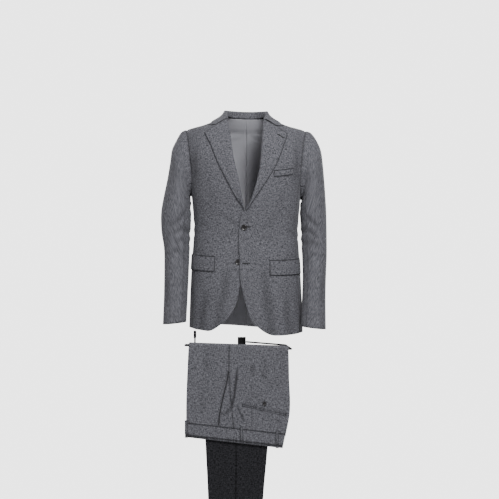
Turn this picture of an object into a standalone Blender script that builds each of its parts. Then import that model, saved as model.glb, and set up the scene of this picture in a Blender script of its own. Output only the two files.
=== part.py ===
"""Two-piece suit: a jacket in its worn form and trousers folded over a trouser rail.

Metres, +Z up, +X to the viewer's right, the front faces -Y.
The origin is at the nape seam of the jacket, where the wearer's neck carries it.
Left and right in the names are the wearer's.
"""

import math

import bmesh
import bpy
from mathutils import Vector

# Driving sizes
JACKET_WALL = 0.0020
LAPEL_WALL = 0.0018
TROUSER_WALL = 0.0012
SEAM_GAP = 0.0003
HEM_Z = -0.757
HEM_RISE_AT_SIDE = 0.007
BACK_HEM_Z = -0.749
VENT_TOP_Z = -0.530
CORNER_TOP_Z = -0.715
CORNER_SHARE = 0.35
LEAN_AT_SHOULDER = 0.002
LEAN_AT_WAIST = 0.0085
OVERLAP_OUT = 0.0033
UNDERLAP_IN = 0.0024
OVERLAP_FADE = 0.085

# Side seams as angles round the body: 0 is the centre front, 180 the centre back
FRONT_SEAM = math.radians(67)
BACK_SEAM = math.radians(113)
SEAM_TURN = 0.0018

# Armhole, an upright oval on the side of the body
ARMHOLE_Z = -0.168
ARMHOLE_HALF_HEIGHT = 0.116
ARMHOLE_HALF_DEPTH = 0.066
ARMHOLE_ROUNDNESS = 2.3

# Sleeve seams as angles round the sleeve: 0 is its outside, 90 its front
SLEEVE_FRONT_SEAM = math.radians(128)
SLEEVE_BACK_SEAM = math.radians(-104)
SLEEVE_ROUNDNESS = 2.15

# Trousers and the rail that they hang on
BAR_Y = -0.150
BAR_Z = -0.8003
BAR_SLOPE = -0.034
BAR_RADIUS = 0.003
LAYER_PITCH = 0.0021
FIRST_LAYER = 0.0044
WAISTBAND_WIDTH = 0.040
TROUSER_HEM = 0.700
BUTTON_DIAMETER = 0.020
BUTTON_THICKNESS = 0.0026
SMALL_BUTTON_DIAMETER = 0.0135

# Body sections: height, half width, front depth, back depth, roundness
BODY_SECTIONS = (
    (0.020, 0.070, 0.066, 0.055, 2.00),
    (0.005, 0.080, 0.074, 0.060, 2.00),
    (-0.012, 0.108, 0.080, 0.067, 2.00),
    (-0.024, 0.134, 0.086, 0.073, 2.00),
    (-0.033, 0.159, 0.091, 0.078, 2.05),
    (-0.042, 0.185, 0.096, 0.083, 2.10),
    (-0.052, 0.208, 0.101, 0.088, 2.15),
    (-0.075, 0.219, 0.110, 0.098, 2.25),
    (-0.120, 0.217, 0.124, 0.112, 2.35),
    (-0.180, 0.208, 0.133, 0.124, 2.40),
    (-0.256, 0.195, 0.136, 0.126, 2.40),
    (-0.320, 0.188, 0.128, 0.115, 2.40),
    (-0.400, 0.183, 0.116, 0.102, 2.35),
    (-0.500, 0.189, 0.118, 0.112, 2.30),
    (-0.600, 0.195, 0.124, 0.128, 2.30),
    (-0.720, 0.199, 0.126, 0.136, 2.30),
    (-0.800, 0.201, 0.126, 0.138, 2.30),
)

# Front edge of each front: height, reach towards its own side from the centre
LEFT_EDGE = (
    (0.005, 0.0705),
    (-0.030, 0.0625),
    (-0.058, 0.0605),
    (-0.098, 0.0575),
    (-0.164, 0.0520),
    (-0.199, 0.0475),
    (-0.282, 0.0245),
    (-0.330, 0.0030),
    (-0.345, -0.0140),
    (-0.390, -0.0225),
    (-0.460, -0.0250),
    (-0.502, -0.0215),
    (-0.565, -0.0200),
    (-0.600, -0.0140),
    (-0.660, 0.0010),
    (-0.700, 0.0150),
    (-0.716, 0.0220),
    (-0.757, 0.0330),
)
RIGHT_EDGE = (
    (0.005, 0.0715),
    (-0.020, 0.0670),
    (-0.043, 0.0615),
    (-0.065, 0.0570),
    (-0.120, 0.0495),
    (-0.178, 0.0395),
    (-0.200, 0.0330),
    (-0.299, 0.0125),
    (-0.345, 0.0030),
    (-0.362, -0.0120),
    (-0.400, -0.0180),
    (-0.480, -0.0180),
    (-0.530, -0.0080),
    (-0.587, 0.0195),
    (-0.636, 0.0275),
    (-0.681, 0.0445),
    (-0.720, 0.0710),
    (-0.757, 0.0900),
)

# Outer edge of a lapel from the foot of the roll up to its point: x, height
LEFT_LAPEL_EDGE = (
    (0.0060, -0.3300),
    (0.0367, -0.2820),
    (0.0616, -0.2450),
    (0.0949, -0.1910),
    (0.1150, -0.1490),
    (0.1306, -0.1070),
    (0.1396, -0.0800),
    (0.1423, -0.0630),
)
RIGHT_LAPEL_EDGE = (
    (0.0060, -0.3300),
    (0.0378, -0.2870),
    (0.0793, -0.2080),
    (0.0945, -0.1770),
    (0.1119, -0.1340),
    (0.1226, -0.1070),
    (0.1365, -0.0800),
    (0.1430, -0.0630),
)
ROLL_LEVELS = (-0.330, -0.310, -0.280, -0.248, -0.216, -0.180, -0.135, -0.100, -0.075, -0.062)
ROLL_LEVELS += (-0.055, -0.0515, -0.042, -0.030, -0.018)

# Across a lapel from its roll: distance past the front's edge, share of its width, height over the chest
LAPEL_SHAPE = (
    (-0.0012, 0.00, 0.0000),
    (-0.0013, 0.00, 0.0024),
    (0.0014, 0.00, 0.0048),
    (0.0000, 0.30, 0.0050),
    (0.0000, 0.55, 0.0042),
    (0.0000, 0.80, 0.0036),
    (0.0000, 1.00, 0.0031),
)

# Collar stations from the centre back to the gorge: fold x, y, z, edge x, y, z, seam drop, inset
COLLAR_STATIONS = (
    (0.0000, 0.0640, 0.0290, 0.0000, 0.0725, -0.0135, 0.026, 0.0045),
    (0.0230, 0.0615, 0.0290, 0.0350, 0.0690, -0.0135, 0.026, 0.0045),
    (0.0440, 0.0530, 0.0290, 0.0685, 0.0575, -0.0130, 0.025, 0.0045),
    (0.0610, 0.0370, 0.0280, 0.0940, 0.0415, -0.0105, 0.023, 0.0045),
    (0.0710, 0.0150, 0.0260, 0.1075, 0.0195, -0.0115, 0.020, 0.0050),
    (0.0740, -0.0100, 0.0220, 0.1130, -0.0080, -0.0105, 0.016, 0.0060),
    (0.0730, -0.0330, 0.0100, 0.1200, -0.0400, -0.0200, 0.010, 0.0085),
    (0.0664, -0.0560, -0.0010, 0.1255, -0.0565, -0.0285, 0.004, 0.0040),
)
COLLAR_CORNER = (0.1300, -0.0370)
NOTCH_VERTEX = (0.1175, -0.0452)

# Sleeve rings: outer x, outer z, inner x, inner z, half depth, centre y
LEFT_SLEEVE = (
    (0.2310, -0.0560, 0.1985, -0.2900, 0.0700, 0.002),
    (0.2500, -0.0830, 0.1975, -0.2925, 0.0715, 0.001),
    (0.2640, -0.1160, 0.1975, -0.2970, 0.0705, -0.001),
    (0.2705, -0.1580, 0.1975, -0.3040, 0.0690, -0.003),
    (0.2755, -0.2150, 0.1970, -0.3160, 0.0670, -0.006),
    (0.2800, -0.2800, 0.1955, -0.3450, 0.0640, -0.010),
    (0.2825, -0.3400, 0.1945, -0.3800, 0.0605, -0.015),
    (0.2837, -0.4050, 0.1950, -0.4250, 0.0570, -0.022),
    (0.2830, -0.4900, 0.1985, -0.4940, 0.0535, -0.034),
    (0.2790, -0.5680, 0.1995, -0.5690, 0.0510, -0.047),
    (0.2768, -0.6430, 0.1965, -0.6420, 0.0490, -0.060),
    (0.2765, -0.7430, 0.1915, -0.7330, 0.0475, -0.076),
)
RIGHT_SLEEVE = (
    (0.2300, -0.0540, 0.1985, -0.2885, 0.0700, 0.002),
    (0.2480, -0.0850, 0.1975, -0.2915, 0.0715, 0.001),
    (0.2610, -0.1140, 0.1975, -0.2960, 0.0705, -0.001),
    (0.2670, -0.1560, 0.1975, -0.3030, 0.0690, -0.003),
    (0.2765, -0.2150, 0.1965, -0.3140, 0.0675, -0.006),
    (0.2890, -0.2780, 0.1950, -0.3430, 0.0650, -0.010),
    (0.2985, -0.3420, 0.1955, -0.3780, 0.0620, -0.015),
    (0.2970, -0.4000, 0.1975, -0.4200, 0.0585, -0.022),
    (0.2870, -0.4650, 0.1990, -0.4700, 0.0545, -0.031),
    (0.2850, -0.5400, 0.2010, -0.5420, 0.0515, -0.044),
    (0.2850, -0.6250, 0.2040, -0.6240, 0.0490, -0.058),
    (0.2875, -0.7260, 0.2080, -0.7180, 0.0470, -0.074),
)

# Creases of the folded trousers: distance from the bar (front minus), left x, seam x, right x
TROUSER_ROWS = (
    (-0.300, -0.2020, -0.0400, 0.1330),
    (-0.210, -0.2015, -0.0500, 0.1490),
    (-0.110, -0.1980, -0.0570, 0.1465),
    (0.000, -0.1920, -0.0560, 0.1430),
    (0.100, -0.1780, -0.0500, 0.1300),
    (0.200, -0.1580, -0.0420, 0.1050),
    (0.300, -0.1405, -0.0350, 0.0800),
    (0.400, -0.1340, -0.0330, 0.0690),
    (0.530, -0.1280, -0.0350, 0.0580),
    (0.700, -0.1240, -0.0360, 0.0520),
)
WAIST_SEAM_LEFT = -0.2777
WAIST_SEAM_RIGHT = -0.3034
FORK = -0.070
FLY_RETURN = 0.070
SEAT_RETURN = 0.005

# Belt loops on each waistband: x of the middle
BELT_LOOPS = (-0.2020, -0.0145, 0.1060)
BELT_LOOP_WIDTH = 0.010
BELT_LOOP_LENGTH = 0.052

# Colours as the light meets them: red, green, blue
WOOL = (0.125, 0.125, 0.135)
BUTTON_COLOUR = (0.035, 0.035, 0.04)
RAIL_COLOUR = (0.012, 0.012, 0.013)

COLLECTION = "suit"
materials = {}


def clear_scene():
    """Remove the objects that the file opened with."""
    for item in list(bpy.data.objects):
        bpy.data.objects.remove(item, do_unlink=True)


def material(name, colour, roughness, metallic=0.0):
    """Return the named Principled material."""
    if name not in materials:
        made = bpy.data.materials.new(name)
        made.use_nodes = True
        shader = made.node_tree.nodes["Principled BSDF"]
        shader.inputs["Base Color"].default_value = (*colour, 1.0)
        shader.inputs["Roughness"].default_value = roughness
        shader.inputs["Metallic"].default_value = metallic
        materials[name] = made
    return materials[name]


def add_object(name, data, finish):
    """Link a new object with its own material to the suit's collection."""
    item = bpy.data.objects.new(name, data)
    bpy.data.collections[COLLECTION].objects.link(item)
    colour, roughness, metallic = finish
    item.data.materials.append(material(name, colour, roughness, metallic))
    return item


def read_table(table, at):
    """Read every column of a table at one value of its first column, along a smooth curve."""
    rows = sorted(table)
    at = min(max(at, rows[0][0]), rows[-1][0])
    k = 0
    while k < len(rows) - 2 and at > rows[k + 1][0]:
        k += 1
    low, high = rows[k], rows[k + 1]
    before, after = rows[max(k - 1, 0)], rows[min(k + 2, len(rows) - 1)]
    span = high[0] - low[0]
    t = (at - low[0]) / span
    out = []
    for c in range(1, len(low)):
        slope_low = (high[c] - before[c]) / (high[0] - before[0]) * span
        slope_high = (after[c] - low[c]) / (after[0] - low[0]) * span
        out.append(
            (2 * t**3 - 3 * t**2 + 1) * low[c]
            + (t**3 - 2 * t**2 + t) * slope_low
            + (3 * t**2 - 2 * t**3) * high[c]
            + (t**3 - t**2) * slope_high
        )
    return out


def along(points, t):
    """Return the place at share t of a polyline's length."""
    points = [Vector(p) for p in points]
    lengths = [(b - a).length for a, b in zip(points, points[1:])]
    left = t * sum(lengths)
    for a, b, length in zip(points, points[1:], lengths):
        if left <= length:
            return a.lerp(b, left / length)
        left -= length
    return points[-1]


def ease(t):
    """Go smoothly from 0 to 1."""
    t = min(max(t, 0.0), 1.0)
    return t * t * (3 - 2 * t)


def power(value, exponent):
    """Raise to a power and keep the sign."""
    return math.copysign(abs(value) ** exponent, value)


def lean(x, z):
    """How far the jacket hangs lower on the wearer's left than in the middle."""
    depth = ease((-z - 0.05) / 0.40)
    most = LEAN_AT_SHOULDER + (LEAN_AT_WAIST - LEAN_AT_SHOULDER) * depth
    return most * math.sin(0.5 * math.pi * min(max(x / 0.16, -1.0), 1.0))


def crossing(x, z, side):
    """How far the overlapping fronts are moved apart near the centre."""
    fade = 1.0 - ease((abs(x) - 0.025) / (OVERLAP_FADE - 0.025))
    fade *= ease((-z - 0.26) / 0.07)
    return (OVERLAP_OUT if side > 0 else -UNDERLAP_IN) * fade


def body_point(angle, z):
    """Return the body's surface at an angle from the centre front, before it leans."""
    half_width, front, back, roundness = read_table(BODY_SECTIONS, z)
    depth = front if math.cos(angle) > 0 else back
    x = half_width * power(math.sin(angle), 2 / roundness)
    y = -depth * power(math.cos(angle), 2 / roundness)
    return Vector((x, y, z))


def body_normal(angle, z):
    """Return the outward direction of the body's surface."""
    step = 0.01
    round_it = body_point(angle + step, z) - body_point(angle - step, z)
    up = body_point(angle, min(z + 0.004, 0.019)) - body_point(angle, z - 0.004)
    normal = round_it.cross(up)
    return normal.normalized()


def angle_at(x, z):
    """Return the angle where the body's front has this x."""
    half_width, _, _, roundness = read_table(BODY_SECTIONS, z)
    share = min(abs(x) / half_width, 1.0)
    return math.copysign(math.asin(share ** (roundness / 2)), x)


def armhole_angle(z, front):
    """Return the angle of the armhole's edge at a height, on its front or its back."""
    lift = min(abs((z - ARMHOLE_Z) / ARMHOLE_HALF_HEIGHT), 1.0)
    y = ARMHOLE_HALF_DEPTH * (1 - lift**ARMHOLE_ROUNDNESS) ** (1 / ARMHOLE_ROUNDNESS)
    _, front_depth, back_depth, roundness = read_table(BODY_SECTIONS, z)
    depth = front_depth if front else back_depth
    angle = math.acos(min(y / depth, 1.0) ** (roundness / 2))
    return angle if front else math.pi - angle


def panel_edge(z, front):
    """Return the angle where a front or back ends: the shoulder, the armhole or the side."""
    if z > ARMHOLE_Z + ARMHOLE_HALF_HEIGHT:
        return 0.5 * math.pi
    edge = armhole_angle(z, front)
    if z > ARMHOLE_Z:
        return edge
    return min(edge, FRONT_SEAM) if front else max(edge, BACK_SEAM)


def armhole_foot(angle):
    """Return the height where the armhole's lower half crosses an angle."""
    z = ARMHOLE_Z - ARMHOLE_HALF_HEIGHT
    for _ in range(12):
        share = min(abs(body_point(angle, z).y) / ARMHOLE_HALF_DEPTH, 1.0)
        drop = (1 - share**ARMHOLE_ROUNDNESS) ** (1 / ARMHOLE_ROUNDNESS)
        z = 0.5 * (z + ARMHOLE_Z - ARMHOLE_HALF_HEIGHT * drop)
    return z


def sheet(name, rows, wall, finish=(WOOL, 0.85, 0.0)):
    """Make a wall of cloth from rows of points on its middle surface."""
    mesh = bpy.data.meshes.new(name)
    width = len(rows[0])
    points = [p for row in rows for p in row]
    faces = [
        (j * width + i, j * width + i + 1, (j + 1) * width + i + 1, (j + 1) * width + i)
        for j in range(len(rows) - 1)
        for i in range(width - 1)
    ]
    mesh.from_pydata(points, [], faces)
    mesh.shade_smooth()
    item = add_object(name, mesh, finish)
    solidify = item.modifiers.new("wall", "SOLIDIFY")
    solidify.thickness = wall
    solidify.offset = 0.0
    return item


def spread(low, high, count):
    """Return evenly spaced values from low to high, count steps."""
    return [low + (high - low) * i / count for i in range(count + 1)]


def front_panel(name, side, edge):
    """One front: from its edge and roll line to the armhole and the side seam."""
    columns = spread(0.0, 1.0, 8)
    low_rows = (0.0, 0.3, 0.65)
    upper = (-0.70, -0.655, -0.60, -0.55, -0.50, -0.45, -0.40, -0.355)
    neck = (-0.008, 0.003)
    rows = []
    for level in low_rows + upper + ROLL_LEVELS + neck:
        row = []
        for u in columns:
            z = level
            if level in low_rows:
                corner = (CORNER_TOP_Z - HEM_Z) * max(1 - u / CORNER_SHARE, 0.0) ** 2.3
                bottom = HEM_Z + corner + HEM_RISE_AT_SIDE * u**2
                z = bottom + (upper[0] - bottom) * level
            reach = read_table(edge, z)[0]
            inner = angle_at(reach, z)
            angle = inner + (panel_edge(z, True) - SEAM_TURN - inner) * u
            place = body_point(angle, z)
            point = place + crossing(place.x, z, side) * body_normal(angle, z)
            point.x *= side
            point.z -= lean(point.x, z)
            row.append(point)
        rows.append(row)
    return sheet(name, rows, JACKET_WALL)


def back_panel(name, side):
    """One half of the back, from the centre seam to the armhole and the side vent."""
    columns = spread(0.0, 1.0, 7)
    vent_flare = 0.004
    levels = (BACK_HEM_Z, -0.70, -0.64, -0.58, VENT_TOP_Z, -0.46, -0.40, -0.34, -0.288)
    levels += (-0.26, -0.2335, -0.18, -0.135, -0.10, -0.075, -0.062, -0.055, -0.0515, -0.042)
    levels += (-0.03, -0.015, 0.002)
    rows = []
    for z in levels:
        row = []
        for u in columns:
            centre = math.pi - SEAM_TURN
            angle = centre + (panel_edge(z, False) + SEAM_TURN - centre) * u
            vent = vent_flare * u**6 * ease((VENT_TOP_Z - z) / 0.12)
            place = body_point(angle, z) + vent * body_normal(angle, z)
            place.x = (place.x if u > 0 else SEAM_GAP / 2) * side
            place.z -= lean(place.x, z)
            row.append(place)
        rows.append(row)
    return sheet(name, rows, JACKET_WALL)


def side_panel(name, side):
    """The side body under the arm, between the front and the back."""
    columns = spread(0.0, 1.0, 5)
    vent_tuck = 0.0035
    rows = []
    for level in spread(0.0, 1.0, 10):
        row = []
        for u in columns:
            angle = FRONT_SEAM + SEAM_TURN + (BACK_SEAM - FRONT_SEAM - 2 * SEAM_TURN) * u
            top = armhole_foot(angle)
            bottom = BACK_HEM_Z - 0.001 + 0.004 * u
            z = bottom + (top - bottom) * level
            tuck = -vent_tuck * max(u - 0.6, 0.0) / 0.4 * ease((VENT_TOP_Z - z) / 0.10)
            place = body_point(angle, z) + tuck * body_normal(angle, z)
            place.x *= side
            place.z -= lean(place.x, z)
            row.append(place)
        rows.append(row)
    return sheet(name, rows, JACKET_WALL)


def armhole_point(turn, side, out):
    """Return a place on the armhole's edge: turn 0 is its top, 90 its front."""
    z = ARMHOLE_Z + ARMHOLE_HALF_HEIGHT * power(math.cos(turn), 2 / ARMHOLE_ROUNDNESS)
    y = -ARMHOLE_HALF_DEPTH * power(math.sin(turn), 2 / ARMHOLE_ROUNDNESS)
    half_width, front, back, roundness = read_table(BODY_SECTIONS, z)
    depth = front if y < 0 else back
    x = half_width * (1 - (abs(y) / depth) ** roundness) ** (1 / roundness) + out
    return Vector((x * side, y, z - lean(x * side, z)))


def ring_point(row, turn, side):
    """Return a place on one ring of a sleeve."""
    outer_x, outer_z, inner_x, inner_z, half_depth, centre_y = row
    across = power(math.cos(turn), 2 / SLEEVE_ROUNDNESS)
    x = 0.5 * (outer_x + inner_x) + 0.5 * (outer_x - inner_x) * across
    z = 0.5 * (outer_z + inner_z) + 0.5 * (outer_z - inner_z) * across
    y = centre_y - half_depth * power(math.sin(turn), 2 / SLEEVE_ROUNDNESS)
    return Vector((x * side, y, z))


def sleeve_panel(name, side, table, first, last, steps):
    """One half of a two-piece sleeve between two of its seams."""
    gap = SEAM_GAP / 0.03
    turns = spread(first + gap, last - gap, steps)
    head = JACKET_WALL / 2 + 3 * SEAM_GAP
    rows = [[armhole_point(turn, side, head) for turn in turns]]
    rows.append(
        [
            armhole_point(turn, side, head + 0.007) + Vector((0, 0, 0.0035 * max(math.cos(turn), 0)))
            for turn in turns
        ]
    )
    for row in table:
        rows.append([ring_point(row, turn, side) for turn in turns])
    return sheet(name, rows, JACKET_WALL)


def lapel(name, side, edge, outer):
    """The turned lapel: it rolls over the front's edge and lies on the chest."""
    foot, gorge = ROLL_LEVELS[0], ROLL_LEVELS[-1]
    rows = []
    for z_roll in ROLL_LEVELS:
        v = (z_roll - foot) / (gorge - foot)
        x_roll = read_table(edge, z_roll)[0] - 2 * SEAM_GAP
        edge_point = along(outer, v)
        row = []
        for near, u, out in LAPEL_SHAPE:
            x = x_roll + near + (edge_point.x - x_roll) * u
            z = z_roll + (edge_point.y - z_roll) * u
            angle = angle_at(x, z)
            place = body_point(angle, z)
            raised = out + crossing(place.x, z, side)
            point = place + raised * body_normal(angle, z)
            point.x *= side
            point.z -= lean(point.x, z)
            row.append(point)
        rows.append(row)
    return sheet(name, rows, LAPEL_WALL)


def collar_rows(side):
    """Return the collar's cross rows on one side, from the centre back to the gorge."""
    rows = []
    for fx, fy, fz, ex, ey, ez, drop, inset in COLLAR_STATIONS:
        fold = Vector((fx, fy, fz))
        edge = Vector((ex, ey, ez))
        away = Vector((edge.x - fold.x, edge.y - fold.y, 0)).normalized()
        seam = fold - Vector((0, 0, drop)) - inset * away
        inside = fold - Vector((0, 0, 0.005)) - 0.0030 * away
        outside = fold + 0.0030 * away - Vector((0, 0, 0.0012))
        row = [seam, seam.lerp(inside, 0.5), inside, fold, outside]
        row += [outside.lerp(edge, t) + 0.0045 * math.sin(math.pi * t) * away for t in (0.33, 0.67)]
        row.append(edge)
        rows.append(row)
    rows.append(gorge_row())
    for row in rows:
        for point in row:
            point.x *= side
            point.z -= lean(point.x, point.z)
    return rows


def gorge_row():
    """The collar's front end: along the gorge to the notch and up to its corner."""
    z_roll = ROLL_LEVELS[-1] + 0.0022
    x_roll = read_table(LEFT_EDGE, z_roll)[0]
    places = (
        (x_roll - 0.0030, z_roll, -0.0034),
        (x_roll - 0.0034, z_roll, -0.0012),
        (x_roll - 0.0034, z_roll, 0.0014),
        (x_roll - 0.0020, z_roll, 0.0040),
        (x_roll + 0.0030, z_roll - 0.001, 0.0058),
        (0.0850, -0.0255, 0.0054),
        (NOTCH_VERTEX[0] - 0.012, NOTCH_VERTEX[1] + 0.0075, 0.0044),
        (COLLAR_CORNER[0], COLLAR_CORNER[1], 0.0040),
    )
    row = []
    for x, z, out in places:
        angle = angle_at(x, z)
        row.append(body_point(angle, z) + out * body_normal(angle, z))
    return row


def collar():
    """The whole collar: stand, fold and fall round the back of the neck."""
    right_side = collar_rows(1)
    left_side = collar_rows(-1)
    rows = list(reversed(left_side))[:-1] + right_side
    return sheet("collar", rows, LAPEL_WALL)


def patch(name, side, first, last, top_first, top_last, depth, out, wall=JACKET_WALL):
    """A piece that lies on the body: a flap or a welt between two angles."""
    rows = []
    for v in (1.0, 0.5, 0.0):
        row = []
        for u in spread(0.0, 1.0, 8):
            angle = first + (last - first) * u
            z = top_first + (top_last - top_first) * u - depth * v
            point = body_point(angle, z) + out * body_normal(angle, z)
            point.x *= side
            point.z -= lean(point.x, z)
            row.append(point)
        rows.append(row)
    return sheet(name, rows, wall)


def disc(name, centre, axis, diameter, thickness, finish):
    """A sewn button: a turned disc with a low rim."""
    mesh = bpy.data.meshes.new(name)
    shape = bmesh.new()
    bmesh.ops.create_cone(
        shape,
        cap_ends=True,
        segments=16,
        radius1=diameter / 2,
        radius2=diameter / 2,
        depth=thickness,
    )
    shape.to_mesh(mesh)
    shape.free()
    item = add_object(name, mesh, finish)
    item.rotation_mode = "QUATERNION"
    item.rotation_quaternion = Vector((0, 0, 1)).rotation_difference(axis)
    item.location = centre
    bevel = item.modifiers.new("rim", "BEVEL")
    bevel.width = min(thickness * 0.28, 0.0008)
    bevel.segments = 1
    return item


def button_on_front(name, x, z, out):
    """Place a jacket button on the front, at x and height, moved out from the body."""
    angle = angle_at(x, z)
    place = body_point(angle, z)
    normal = body_normal(angle, z)
    place += out * normal
    place.z -= lean(place.x, z)
    return disc(name, place, normal, BUTTON_DIAMETER, BUTTON_THICKNESS, (BUTTON_COLOUR, 0.35, 0.0))


def bar_z(x):
    """Height of the bar's centre line."""
    return BAR_Z + BAR_SLOPE * x


def hung(x, s, radius):
    """Return a place on a layer that hangs over the bar, s metres from its top."""
    quarter = 0.5 * math.pi * radius
    if abs(s) < quarter:
        turn = s / radius
        return Vector((x, BAR_Y + radius * math.sin(turn), bar_z(x) + radius * math.cos(turn)))
    side = math.copysign(1.0, s)
    return Vector((x, BAR_Y + side * radius, bar_z(x) - (abs(s) - quarter)))


def waist_seam(x):
    """Distance of the waistband seam from the top of the bar."""
    share = (x + 0.199) / 0.324
    return WAIST_SEAM_LEFT + (WAIST_SEAM_RIGHT - WAIST_SEAM_LEFT) * share


def u_row(s_of, crease, seam, back_to, outer_radius, inner_radius, steps):
    """One cross row of a panel: outer face, the crease and the face that is folded under."""
    inward = math.copysign(1.0, seam - crease)
    middle = 0.5 * (outer_radius + inner_radius)
    half = 0.5 * abs(outer_radius - inner_radius)
    start = crease + inward * half
    row = []
    for t in spread(0.0, 1.0, steps):
        x = seam + (start - seam) * t
        row.append(hung(x, s_of(x, outer_radius), outer_radius))
    for turn in (45, 90, 135):
        angle = math.radians(turn)
        x = start - inward * half * math.sin(angle)
        radius = middle + (outer_radius - middle) * math.cos(angle)
        row.append(hung(x, s_of(x, radius), radius))
    for t in spread(0.0, 1.0, steps - 1):
        x = start + (back_to - start) * t
        row.append(hung(x, s_of(x, inner_radius), inner_radius))
    return row


def trouser_panel(name, towards_front, outer_layer, inner_layer):
    """One trouser panel, hung over the bar from the waist seam to the hem."""
    outer_radius = FIRST_LAYER + LAYER_PITCH * outer_layer
    inner_radius = FIRST_LAYER + LAYER_PITCH * inner_layer
    levels = [("front", share) for share in (1.0, 0.84, 0.66, 0.48, 0.30, 0.14)]
    levels += [("bar", math.radians(turn)) for turn in (-90, -60, -30, 0, 30, 60, 90)]
    levels += [("rear", s) for s in (0.07, 0.15, 0.24, 0.33, 0.45, 0.57, TROUSER_HEM)]
    rows = []
    for place, level in levels:

        def s_of(x, radius, place=place, level=level):
            if place == "front":
                return waist_seam(x) * level + SEAM_GAP
            return level * radius if place == "bar" else level

        s_mean = s_of(0.0, outer_radius)
        left, seam, right = read_table(TROUSER_ROWS, s_mean)
        crease = left if towards_front else right
        open_leg = ease((s_mean + 0.27) / (0.27 + FORK))
        half_gap = SEAM_GAP / 2 * (-1 if towards_front else 1)
        short = left + FLY_RETURN if towards_front else right - SEAT_RETURN
        back_to = short + (seam + half_gap - short) * open_leg
        rows.append(u_row(s_of, crease, seam + half_gap, back_to, outer_radius, inner_radius, 4))
    return sheet(name, rows, TROUSER_WALL)


def waistband(name, outer_layer, inner_layer):
    """One waistband, from the centre back round the front crease to its folded-in end."""
    outer_radius = FIRST_LAYER + LAYER_PITCH * outer_layer
    inner_radius = FIRST_LAYER + LAYER_PITCH * inner_layer
    left, _, right = read_table(TROUSER_ROWS, -0.30)
    rows = []
    for down in (0.0, 0.33, 0.67, 1.0):

        def s_of(x, radius, down=down):
            return waist_seam(x) - 2 * SEAM_GAP - WAISTBAND_WIDTH * down

        narrow = 0.008 * down
        rows.append(
            u_row(s_of, left + 0.002 * down, right - narrow, left + FLY_RETURN, outer_radius, inner_radius, 6)
        )
    return sheet(name, rows, TROUSER_WALL)


def strip_on_front(name, x, width, s_top, s_bottom, radius, wall, finish=(WOOL, 0.85, 0.0)):
    """A narrow strip that lies on a hanging layer."""
    rows = []
    for s in spread(s_bottom, s_top, 3):
        rows.append([hung(x + w, s, radius) for w in (-width / 2, 0.0, width / 2)])
    return sheet(name, rows, wall, finish)


def belt_loops(label, layer, outwards):
    """The belt loops on one waistband."""
    base = FIRST_LAYER + LAYER_PITCH * layer
    radius = base + outwards * (TROUSER_WALL + SEAM_GAP + 0.0001)
    for number, x in enumerate(BELT_LOOPS, start=1):
        top = waist_seam(x) + 0.006
        strip_on_front(
            f"belt_loop_{label}_{number}", x, BELT_LOOP_WIDTH, top, top - BELT_LOOP_LENGTH, radius, 0.0011
        )


def back_pocket(layer):
    """The back pocket: two welts, a cloth loop and its button."""
    base = FIRST_LAYER + LAYER_PITCH * layer
    radius = base + TROUSER_WALL + SEAM_GAP
    left, right, middle = -0.0117, 0.1365, 0.0634
    for label, offset in (("upper", 0.0), ("lower", 0.0056)):
        rows = []
        for down in (0.0050, 0.0):
            row = []
            for x in spread(left, right, 5):
                s = -0.2060 - 0.0295 * (x - left) / (right - left) - offset - down
                row.append(hung(x, s, radius))
            rows.append(row)
        sheet(f"back_pocket_welt_{label}", rows, 0.0011)
    top = -0.1985
    strip_on_front("back_pocket_loop", middle, 0.004, top + 0.0065, top - 0.0185, radius, 0.0009)
    centre = hung(middle, top - 0.010, radius + 0.0021)
    finish = (BUTTON_COLOUR, 0.35, 0.0)
    disc("back_pocket_button", centre, Vector((0, -1, 0)), SMALL_BUTTON_DIAMETER, 0.0024, finish)


def rounded_route(corners, radius, steps=5):
    """Return a route through corners with each one rounded."""
    corners = [Vector(c) for c in corners]
    route = [corners[0]]
    for before, corner, after in zip(corners, corners[1:], corners[2:]):
        start = corner + (before - corner).normalized() * radius
        end = corner + (after - corner).normalized() * radius
        for t in spread(0.0, 1.0, steps):
            route.append((1 - t) ** 2 * start + 2 * t * (1 - t) * corner + t**2 * end)
    route.append(corners[-1])
    return route


def rod(name, route, radius):
    """A bent round rod."""
    curve = bpy.data.curves.new(name, "CURVE")
    curve.dimensions = "3D"
    curve.bevel_depth = radius
    curve.bevel_resolution = 2
    curve.use_fill_caps = True
    spline = curve.splines.new("POLY")
    spline.points.add(len(route) - 1)
    for knot, place in zip(spline.points, route):
        knot.co = (*place, 1.0)
    return add_object(name, curve, (RAIL_COLOUR, 0.4, 0.0))


def box(name, centre, size, finish, bevel_width):
    """A plain block with softened edges."""
    mesh = bpy.data.meshes.new(name)
    shape = bmesh.new()
    bmesh.ops.create_cube(shape, size=1.0)
    for corner in shape.verts:
        corner.co = Vector([c * s for c, s in zip(corner.co, size)])
    shape.to_mesh(mesh)
    shape.free()
    item = add_object(name, mesh, finish)
    item.location = centre
    bevel = item.modifiers.new("edges", "BEVEL")
    bevel.width = bevel_width
    bevel.segments = 2
    return item


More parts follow.
